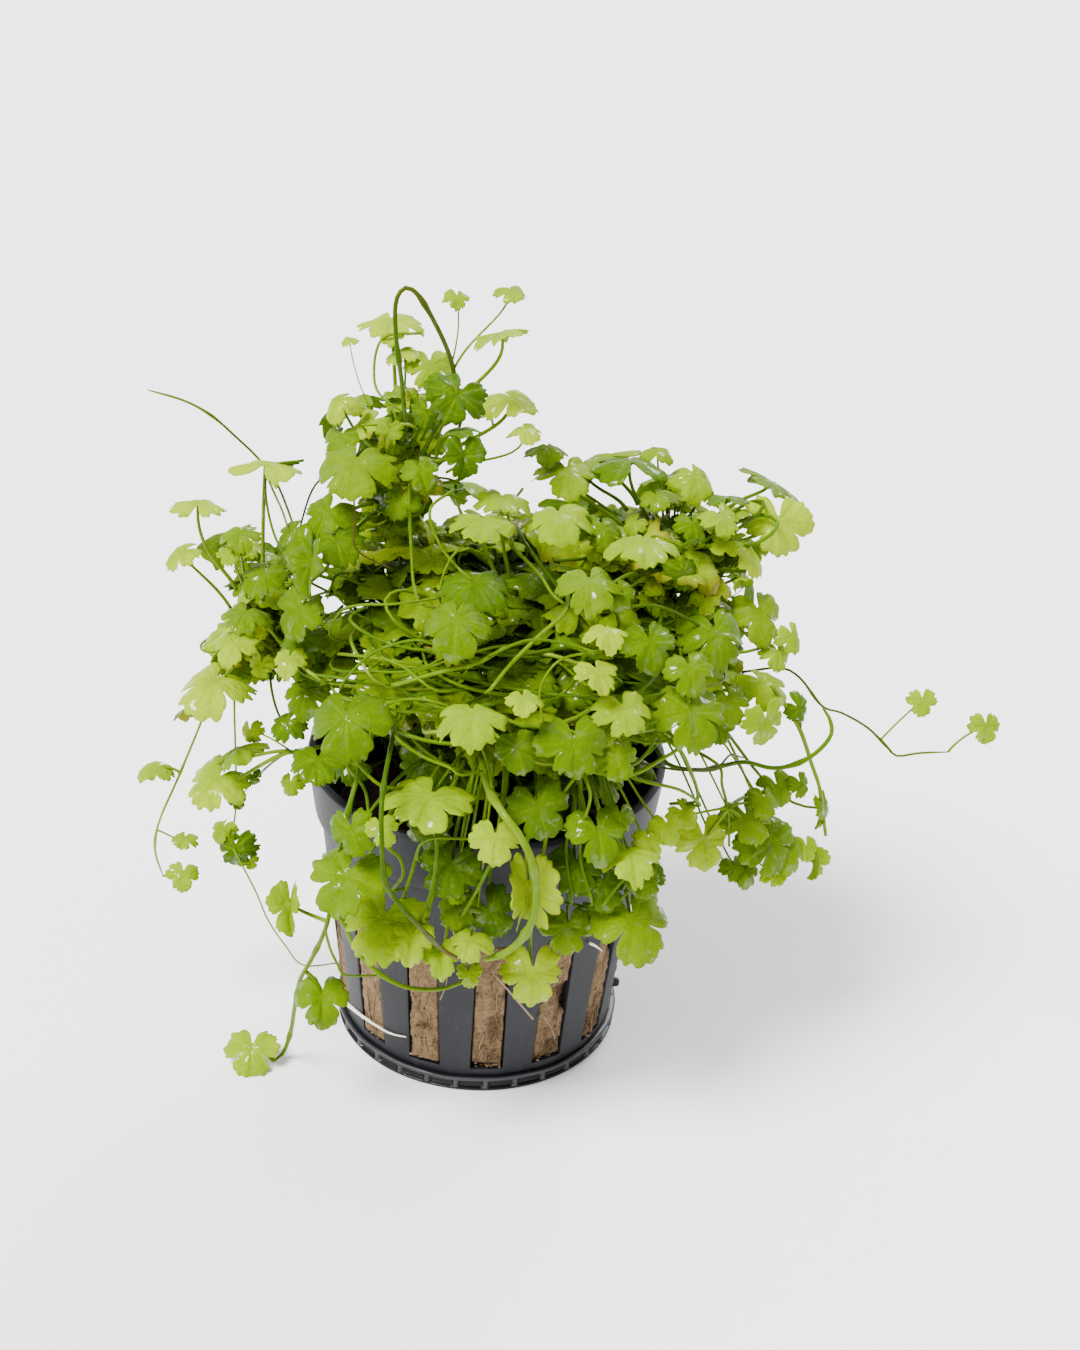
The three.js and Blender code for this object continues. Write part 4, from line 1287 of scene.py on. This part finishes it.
def raised(root, mass):
    """A petiole's root, no lower than the pot's mouth where it is in the mound."""
    if mass == "mound":
        root[2] = max(root[2], LOWEST_ROOT)
    return root


def crowd_leaf(heap, mass, rng):
    """A small leaf somewhere near the skin of a mass."""
    way = unit(rng.normal(size=3))
    if mass == "mound" and way[2] < -0.5:
        way[2] = -way[2]
    deep = rng.uniform() ** 1.6
    width = rng.uniform(*CROWD[mass]["widths"]) * MM
    sink = 0.3 * width + CROWD_DEPTH * deep
    # Deeper leaves and leaves in the hollow get a lower tone: painted shade.
    hollow_painted_shade = HOLLOW_SHADE * hollow_share(mass, way)
    tone = CROWD[mass]["tone"] - DEEP_SHADE * deep - hollow_painted_shade + rng.normal(0, TONE_SPREAD)
    place = skin(mass, way, sink)
    outward = unit(way / radii_of(mass))
    facing = unit(outward * 0.32 + UP * 0.85 + rng.normal(0, 0.3, 3))
    root = centre_of(mass) + (place - centre_of(mass)) * rng.uniform(0.3, 0.6) - UP * rng.uniform(2, 9) * MM
    add_leaf(
        heap, place, facing, rng.normal(0, 50), width, raised(root, mass), rng,
        float(np.clip(tone, 0.04, 0.96)), "crowd", dome=rng.normal(0.5, 0.35),
        fold=rng.uniform(-0.1, 0.35), wither=float(rng.uniform() < WITHERED_SHARE),
    )


def painted_shade_leaf(heap, mass, rng):
    """A broad leaf deep in a mass, near black: its tone is painted shade."""
    way = unit(rng.normal(size=3))
    place = centre_of(mass) + (skin(mass, way) - centre_of(mass)) * rng.uniform(0.3, 0.62)
    facing = unit(way + UP * 0.6)
    root = raised(place - UP * DARK_LEAF_STALK, mass)
    spin = rng.normal(0, 60)
    add_leaf(heap, place, facing, spin, DARK_LEAF_WIDTH, root, rng, rng.uniform(0.02, 0.25), "deep")


def skirt_leaf(heap, rng):
    """A leaf in the pot's mouth, between the stems and the rim."""
    angle = rng.uniform(0, 2 * math.pi)
    place = around_axis(angle, rng.uniform(15, 24) * MM, rng.uniform(47, 56) * MM)
    root = around_axis(angle + rng.normal(0, 0.3), 10 * MM, rng.uniform(42, 48) * MM)
    facing = unit(around_axis(angle, 1.0, 0.0) * 0.5 + UP + rng.normal(0, 0.25, 3))
    add_leaf(
        heap, place, facing, rng.normal(0, 40), rng.uniform(6, 10.5) * MM, root, rng,
        rng.uniform(0.15, 0.6), "crowd", dome=rng.normal(0.6, 0.3),
    )


def back_leaves(heap, mass, rng):
    """Larger leaves on the far side, spread by the golden angle, as in the solids."""
    count, rise = MASSES[mass]["back"], MASSES[mass]["rise"]
    for i in range(count):
        turn = 180 + 62 * math.sin(2.4 * i)
        lift = rise * (i + 0.5) / count
        outward = direction(turn, lift)
        place = centre_of(mass) + outward * radii_of(mass) + outward * BACK_LEAF_STALK
        root = centre_of(mass) + outward * radii_of(mass) * 0.6
        add_leaf(
            heap, place, direction(turn, lift + 25), rng.normal(0, 15), BACK_LEAF_WIDTH, root, rng,
            rng.uniform(0.5, 0.85), "small", dome=rng.uniform(0.2, 0.8),
        )


print("crowd leaves:", sum(crowd["leaves"] for crowd in CROWD.values()))

# %% [markdown]
# ## Stems
# The plant is as much stem as leaf. A runner is a creeping stem, half a millimetre to a millimetre thick. It
# swells a little at each node, where leaves and roots come out. The runners' routes are the same picks as in
# the solids, and three of them carry small leaves. Thinner stems cross the front of the mound: the ones that
# catch the eye follow picks too, with the depths at a few places along them, and the rest wander over the
# skin of a mass and dip back in. The last ones rise from the coir, where the plant is rooted.

# %% Runner routes
THREAD, RUNNER, OLD_RUNNER = 0.18 * MM, 0.32 * MM, 0.52 * MM
RUNNERS = {
    "runner_tall_arch": dict(
        radius=RUNNER, tone=(0.28, 0.28),
        route=[
            (406, 430, 0), (402, 385, 0), (396, 335, 0), (396, 302, 1), (405, 288, 2), (418, 295, 2),
            (436, 325, 3), (450, 357, 3), (459, 395, 3),
        ],
        leaves=[
            ((511, 290, 7), 5.2, 20, 84, 0.92),
            ((457, 297, 7), 3.8, 10, 60, 0.9),
        ],
    ),
    "runner_bare_tip": dict(
        radius=THREAD, tone=(0.6, 0.6),
        route=[
            (300, 548, -6), (288, 510, 0), (274, 478, 7), (256, 456, 9), (236, 437, 8), (212, 416, 6),
            (185, 401, 5), (148, 390, 4),
        ],
    ),
    "runner_left_thread": dict(
        radius=THREAD, tone=(0.85, 0.85),
        route=[
            (240, 668, 0), (214, 690, -1), (198, 730, -2), (178, 778, -3), (159, 822, -3),
            (155, 850, -3), (163, 876, -3),
        ],
        leaves=[
            ((155, 767, -3.5), 6, -40, 80, 0.5),
            ((184, 838, -4), 4.4, -10, 80, 0.8),
            ((183, 873, -4), 5.2, 0, 60, 1),
        ],
    ),
    "runner_lower_left": dict(
        radius=RUNNER, tone=(0.6, 0.7),
        route=[
            (385, 700, -15), (364, 757, -26), (350, 804, -31), (340, 850, -32), (332, 900, -30),
            (325, 930, -29), (312, 958, -27), (300, 980, -24.5), (295, 1005, -22), (291, 1030, -18.5),
            (284, 1051, -16.6), (274, 1061, -18.2),
        ],
    ),
    "runner_front_arc": dict(
        radius=RUNNER, tone=(0.65, 0.65),
        route=[
            (330, 905, -30), (343, 922, -30), (353, 945, -29), (366, 962, -28.5), (386, 978, -28),
            (410, 988, -28), (440, 989, -28), (466, 981, -28.5),
        ],
    ),
    "runner_front_curl": dict(
        radius=OLD_RUNNER, tone=(0.72, 0.9),
        route=[
            (480, 748, -19), (487, 785, -30), (502, 812, -36), (520, 836, -38), (532, 862, -38),
            (536, 892, -37), (533, 918, -36), (521, 940, -34), (503, 954, -33), (484, 960, -32),
        ],
    ),
    "runner_front_brown": dict(
        radius=RUNNER, tone=(0.75, -0.15),
        route=[
            (400, 705, -15), (389, 756, -28), (382, 800, -37), (382, 850, -41), (386, 884, -41),
            (400, 905, -41), (416, 923, -40), (432, 940, -38), (446, 952, -36), (470, 965, -33),
        ],
    ),
    "runner_right_trail": dict(
        radius=THREAD, tone=(0.35, 0.35),
        route=[
            (742, 672, 2), (780, 668, 0), (800, 678, -1), (822, 706, -2), (842, 713, -2), (868, 728, -2),
            (888, 748, -2), (897, 756, -2), (920, 753, -2), (948, 752, -2),
        ],
        leaves=[
            ((922, 700, -2), 4.6, 0, 35, 0.7),
            ((986, 726, -2), 5.2, 10, 35, 1),
        ],
    ),
    "runner_right_loop": dict(
        radius=RUNNER, tone=(0.4, 0.4),
        route=[
            (650, 737, -13), (668, 764, -16), (700, 770, -15), (722, 766, -13), (745, 762, -12),
            (772, 768, -11), (796, 764, -10), (817, 752, -9), (831, 735, -7), (830, 720, -5),
            (823, 708, -3),
        ],
    ),
}
NODE_SPACING = 13 * MM
NODE_LENGTH = 1.1 * MM
SWELL = 0.45
TIP_LENGTH, TIP_SHARE = 6 * MM, 0.55
RUNNER_STEP = 0.9 * MM
TONE_WAVE = 9 * MM


def add_runner(heap, path, radius, tone, rng):
    """A tube that swells at its nodes, thins to its tip and changes from one tone to another."""
    walked = np.concatenate([[0.0], np.cumsum(np.linalg.norm(np.diff(path, axis=0), axis=1))])
    past = np.abs((walked + rng.uniform(0, NODE_SPACING)) % NODE_SPACING - NODE_SPACING / 2)
    radii = radius * (1 + SWELL * np.exp(-(past / NODE_LENGTH) ** 2))
    radii = radii * np.clip((walked[-1] - walked) / TIP_LENGTH + TIP_SHARE, 0, 1)
    tones = np.linspace(*tone, len(path)) + 0.12 * np.sin(walked / TONE_WAVE + rng.uniform(0, 6))
    add_tube(heap, path, radii, 8, tone=tones)


print("runners:", len(RUNNERS))

# %% Placed stems
STEMS = [
    (0.8, 0.28, (-5, -16), [(412, 475), (412, 560), (415, 590), (423, 605)]),
    (0.7, 0.22, (-3, -8), [(508, 510), (512, 530), (510, 545)]),
    (0.78, 0.28, (-8, -19), [(515, 548), (540, 575), (555, 597), (580, 612)]),
    (0.38, 0.28, (-8, -18, -11), [(530, 550), (570, 600), (600, 612), (650, 605), (690, 620), (720, 645)]),
    (0.88, 0.34, (-19, -28), [(565, 612), (540, 635), (510, 665), (490, 690)]),
    (0.88, 0.34, (-25, -27), [(395, 685), (440, 672), (480, 662)]),
    (0.8, 0.22, (-22, -27), [(380, 655), (405, 668), (435, 690)]),
    (0.7, 0.2, (-23, -27), [(372, 670), (400, 672), (430, 665), (455, 645)]),
    (0.85, 0.22, (-14, -16, -18), [(330, 635), (340, 612), (360, 605), (395, 604)]),
    (0.8, 0.26, (-27, -31), [(395, 735), (420, 755), (450, 768), (460, 775)]),
    (0.72, 0.26, (-28, -32), [(478, 735), (488, 765), (493, 790)]),
    (0.85, 0.3, (-25, -30), [(335, 748), (350, 755), (380, 785)]),
    (0.75, 0.28, (-25, -31), [(345, 760), (365, 790), (372, 830)]),
    (0.62, 0.32, (-30, -33, -32), [(435, 815), (437, 850), (432, 890), (420, 920)]),
    (0.78, 0.26, (-31, -33, -31), [(418, 860), (420, 845), (435, 838), (480, 838)]),
    (0.72, 0.3, (-31, -33, -32), [(387, 845), (400, 858), (403, 875), (393, 890)]),
    (0.6, 0.3, (-33, -33), [(497, 850), (480, 885), (463, 915)]),
    (0.88, 0.34, (-28, -28, -22), [(595, 772), (630, 775), (660, 760), (680, 745)]),
    (0.75, 0.26, (-22, -28), [(655, 735), (640, 760), (620, 768)]),
    (0.8, 0.28, (-25, -20), [(640, 780), (680, 790), (700, 805)]),
    (0.7, 0.26, (-30, -31), [(598, 908), (616, 888), (634, 868)]),
    (0.62, 0.26, (-29, -31), [(610, 908), (628, 892), (646, 878)]),
    (0.5, 0.26, (-27, -31), [(574, 800), (566, 850), (572, 900)]),
    (0.66, 0.26, (-27, -31), [(584, 806), (580, 856), (592, 902)]),
    (0.8, 0.34, (-22, -18), [(675, 745), (690, 770), (697, 800)]),
    (0.7, 0.26, (-15, -16), [(718, 765), (722, 785), (728, 810), (729, 840)]),
    (0.15, 0.2, (-20, -14), [(680, 770), (715, 768), (730, 755), (740, 757)]),
    (0.84, 0.26, (-28, -32, -32, -30), [
        (560, 795), (580, 773), (588, 785), (590, 800), (583, 820), (570, 829), (560, 828),
    ]),
    (0.95, 0.36, (-10, -7, -6), [(775, 690), (782, 700), (800, 730), (812, 765), (820, 790), (825, 830)]),
    (0.22, 0.18, (4, -4), [(320, 480), (302, 520), (300, 545), (302, 575)]),
    (0.7, 0.34, (-14, -12, -8), [(292, 752), (322, 746), (352, 732)]),
    (0.92, 0.16, (-3, -12, -26), [(236, 854), (255, 890), (268, 920), (285, 945), (303, 965)]),
    (0.8, 0.24, (-30, -29), [(327, 920), (329, 945), (338, 965), (345, 975)]),
    (0.82, 0.24, (8, 2), [(383, 338), (374, 375), (385, 400)]),
    (0.62, 0.22, (1, -6), [(268, 470), (270, 520), (290, 560)]),
    (0.55, 0.2, (1, -8), [(268, 470), (282, 510), (300, 550)]),
    (0.04, 0.16, (-7, -9), [(358, 490), (355, 520), (357, 550)]),
    (0.78, 0.24, (-10, -16), [(430, 510), (440, 545), (460, 570), (475, 580)]),
    (0.6, 0.26, (-18, -24), [(350, 620), (380, 640), (425, 650), (470, 640)]),
    (0.66, 0.24, (-20, -26), [(340, 690), (370, 655), (415, 640), (450, 650)]),
    (0.74, 0.24, (-24, -28), [(365, 720), (400, 700), (445, 705), (480, 735)]),
    (0.84, 0.22, (-22, -28), [(600, 650), (560, 660), (540, 690), (545, 730)]),
    (0.58, 0.24, (-26, -24), [(480, 660), (530, 640), (580, 650), (620, 680)]),
    (0.8, 0.22, (-12, -18), [(470, 540), (450, 560), (440, 590), (445, 615)]),
]
STEM_SLIMMING = 0.88
STEM_SHADING = 0.85
OUTSIDE = 36 * MM
DIVE_AHEAD, DIVE_IN = 2.5, 5
RISING_STEMS = 90
SKIRT_LEAVES = 44


def dive(place, before):
    """A point further along a stem and, near the mound, deeper in it, where the end can't be seen."""
    if math.hypot(place[0], place[1]) > OUTSIDE:
        return place + unit(place - before) * MM
    inward = unit(centre_of("mound") * np.array([1, 1, 0]) + UP * place[2] - place)
    return place + unit(place - before) * DIVE_AHEAD * MM + inward * DIVE_IN * MM - UP * MM


def placed_stem(heap, tone, radius, depths, picks):
    """A stem through picked pixels, with its depths spread evenly along it."""
    along = np.interp(np.linspace(0, 1, len(picks)), np.linspace(0, 1, len(depths)), depths)
    knots = [seen(px, py, y) for (px, py), y in zip(picks, along)]
    knots = [dive(knots[0], knots[1]), *knots, dive(knots[-1], knots[-2])]
    radii = STEM_SLIMMING * radius * MM * np.linspace(1.1, 0.8, 5 * len(knots) + 1)
    add_tube(heap, through(knots, 5 * len(knots)), radii, 6, tone=STEM_SHADING * tone)


def crossing_stem(heap, mass, turn, lift, rng):
    """A stem that wanders over the skin of a mass, and dips in at both ends."""
    heading = rng.uniform(-0.8, 0.8) + math.pi * rng.integers(2)
    stride = rng.uniform(8, 16)
    pressed = rng.uniform(0.1, 1.0)
    knots = []
    for share in np.linspace(-1, 1, 5):
        sink = (7 * share ** 2 - 1.2) * MM
        knots.append(skin(mass, direction(turn, lift), sink, pressed))
        turn = turn + stride * math.cos(heading)
        lift = lift + 0.8 * stride * math.sin(heading)
        heading = heading + rng.normal(0, 0.35)
    add_tube(heap, through(knots, 14), rng.uniform(0.17, 0.30) * MM, 5, tone=rng.uniform(0.35, 0.92))


def rising_stem(heap, rng):
    """A stem that comes out of the coir and spreads into the mound."""
    angle = rng.uniform(0, 2 * math.pi)
    foot = around_axis(angle, rng.uniform(1, 12) * MM, PLUG_TOP - MM)
    waist = around_axis(angle + rng.normal(0, 0.2), rng.uniform(6, 15) * MM, PLUG_TOP + 9 * MM)
    top = around_axis(angle + rng.normal(0, 0.4), rng.uniform(8, 22) * MM, rng.uniform(55, 64) * MM)
    radius = rng.uniform(0.22, 0.40) * MM
    add_tube(heap, through([foot, waist, top], 9), radius, 5, tone=rng.uniform(0.15, 0.5))


print("placed stems:", len(STEMS))


# %% Grow the runners
def grow(heap, name, slot_name, node):
    """Turns a heap of leaves and stems into a piece in place of a solid."""
    attach(heap.object(name, [leaf_material, stem_material]), slot_name, node)


rng = np.random.default_rng(SEED)
paths = {}
for name, runner in RUNNERS.items():
    heap = Heap()
    knots = [seen(*pick) for pick in runner["route"]]
    steps = int(sum(np.linalg.norm(b - a) for a, b in zip(knots, knots[1:])) / RUNNER_STEP)
    paths[name] = through(knots, steps)
    add_runner(heap, paths[name], runner["radius"], runner["tone"], rng)
    for pick, width, turn, lift, share in runner.get("leaves", ()):
        root = paths[name][int(share * steps)]
        facing = direction(turn, lift)
        add_leaf(heap, seen(*pick), facing, 0, width * MM, root, rng, 0.85, "small", dome=0.4)
    grow(heap, "grown_" + name, "stem", name)
print("runner points:", sum(len(p) for p in paths.values()))

# %% Grow the large leaves
numbers = {}
for series, carrier, rows in LEAVES:
    for px, py, y, width, turn, lift, spin, tone, dome, *fold in rows:
        numbers[series] = numbers.get(series, 0) + 1
        name = f"leaf_{series}_{numbers[series]}"
        heap = Heap()
        place = seen(px, py, y)
        if carrier in paths:
            path = paths[carrier]
            root, hangs = path[np.argmin(np.linalg.norm(path - place, axis=1))], False
        else:
            root, hangs = grown_from(carrier, place)
        add_leaf(
            heap, place, direction(turn, lift), spin, width * MM, root, rng, tone, "large", hangs,
            dome=dome, fold=(*fold, 0)[0],
        )
        grow(heap, "grown_" + name, "leaf", name)
print("large leaves grown:", numbers)

# %% Grow the masses
PIECE_LEAVES = 130


def mass_piece(heap, name, mass):
    grow(heap, name, "small_leaves", "small_leaves_" + mass)
    print(name, sum(len(face) - 2 for face in heap.faces), "triangles")


for mass, crowd in CROWD.items():
    heaps = [Heap() for _ in range(-(-crowd["leaves"] // PIECE_LEAVES))]
    for i in range(crowd["leaves"]):
        crowd_leaf(heaps[i // PIECE_LEAVES], mass, rng)
    for _ in range(crowd["dark"]):
        painted_shade_leaf(heaps[-1], mass, rng)
    for number, heap in enumerate(heaps, 1):
        mass_piece(heap, f"crowd_{mass}_{number}", mass)
    heap = Heap()
    back_leaves(heap, mass, rng)
    for px, py, y, width, turn, lift, tone, *looks in PLACED[mass]:
        fold, wither = (*looks, 0, 0)[:2]
        place = seen(px, py, y)
        root, hangs = grown_from(mass, place)
        add_leaf(
            heap, place, direction(turn, lift), rng.normal(5, 15), width * MM, root, rng, tone, "small",
            hangs, dome=rng.uniform(0.3, 0.8), fold=fold, wither=wither,
        )
    for i in range(crowd["crossing"]):
        turn = rng.uniform(-75, 75) if i % 3 else rng.uniform(-180, 180)
        crossing_stem(heap, mass, turn, rng.uniform(-20, 45), rng)
    if mass == "mound":
        for stem in STEMS:
            placed_stem(heap, *stem)
        for _ in range(RISING_STEMS):
            rising_stem(heap, rng)
        for _ in range(SKIRT_LEAVES):
            skirt_leaf(heap, rng)
    mass_piece(heap, "placed_" + mass, mass)

# %% [markdown]
# ## Floor and light
# A plain pale floor and soft light: a wide sun from the upper left, a weaker one from behind for the light
# that comes through the thin blades, and a bright even sky. Suns light the floor evenly to the horizon,
# where a panel would leave a bright pool.

# %% Floor and light
FLOOR_HALF = 4.0
FLOOR_PALE = (0.90, 0.90, 0.90)
FLOOR_GREY = (0.84, 0.84, 0.84)
SKY_STRENGTH = 1.1


def pale_floor():
    f = Finish("pale_floor")
    colour = f.mix(f.noise(60) * 0.04, FLOOR_PALE, FLOOR_GREY)
    return f.plain(Base_Color=colour, Roughness=0.9, Specular_IOR_Level=0.1)


floor_mesh = bpy.data.meshes.new("floor")
corners = [(-1, -1), (1, -1), (1, 1), (-1, 1)]
floor_mesh.from_pydata([(FLOOR_HALF * x, FLOOR_HALF * y, 0) for x, y in corners], [], [(0, 1, 2, 3)])
floor_mesh.materials.append(pale_floor())
floor = new_object("floor", floor_mesh)


def sun(name, source, strength, spread):
    """A sun that shines from the direction of its source, and looks as wide as its spread in degrees."""
    data = bpy.data.lights.new(name, "SUN")
    data.energy = strength
    data.angle = math.radians(spread)
    new_object(name, data).rotation_euler = Vector(source).to_track_quat("Z", "Y").to_euler()


sun("key_sun", (-0.5, -0.35, 1.0), 9.0, 25)
sun("back_sun", (0.4, 0.9, 0.8), 3.0, 30)
world = bpy.data.worlds.new("sky")
world.use_nodes = True
background = world.node_tree.nodes["Background"]
background.inputs["Color"].default_value = (1.0, 1.0, 1.0, 1.0)
background.inputs["Strength"].default_value = SKY_STRENGTH
bpy.context.scene.world = world
print("lights set")
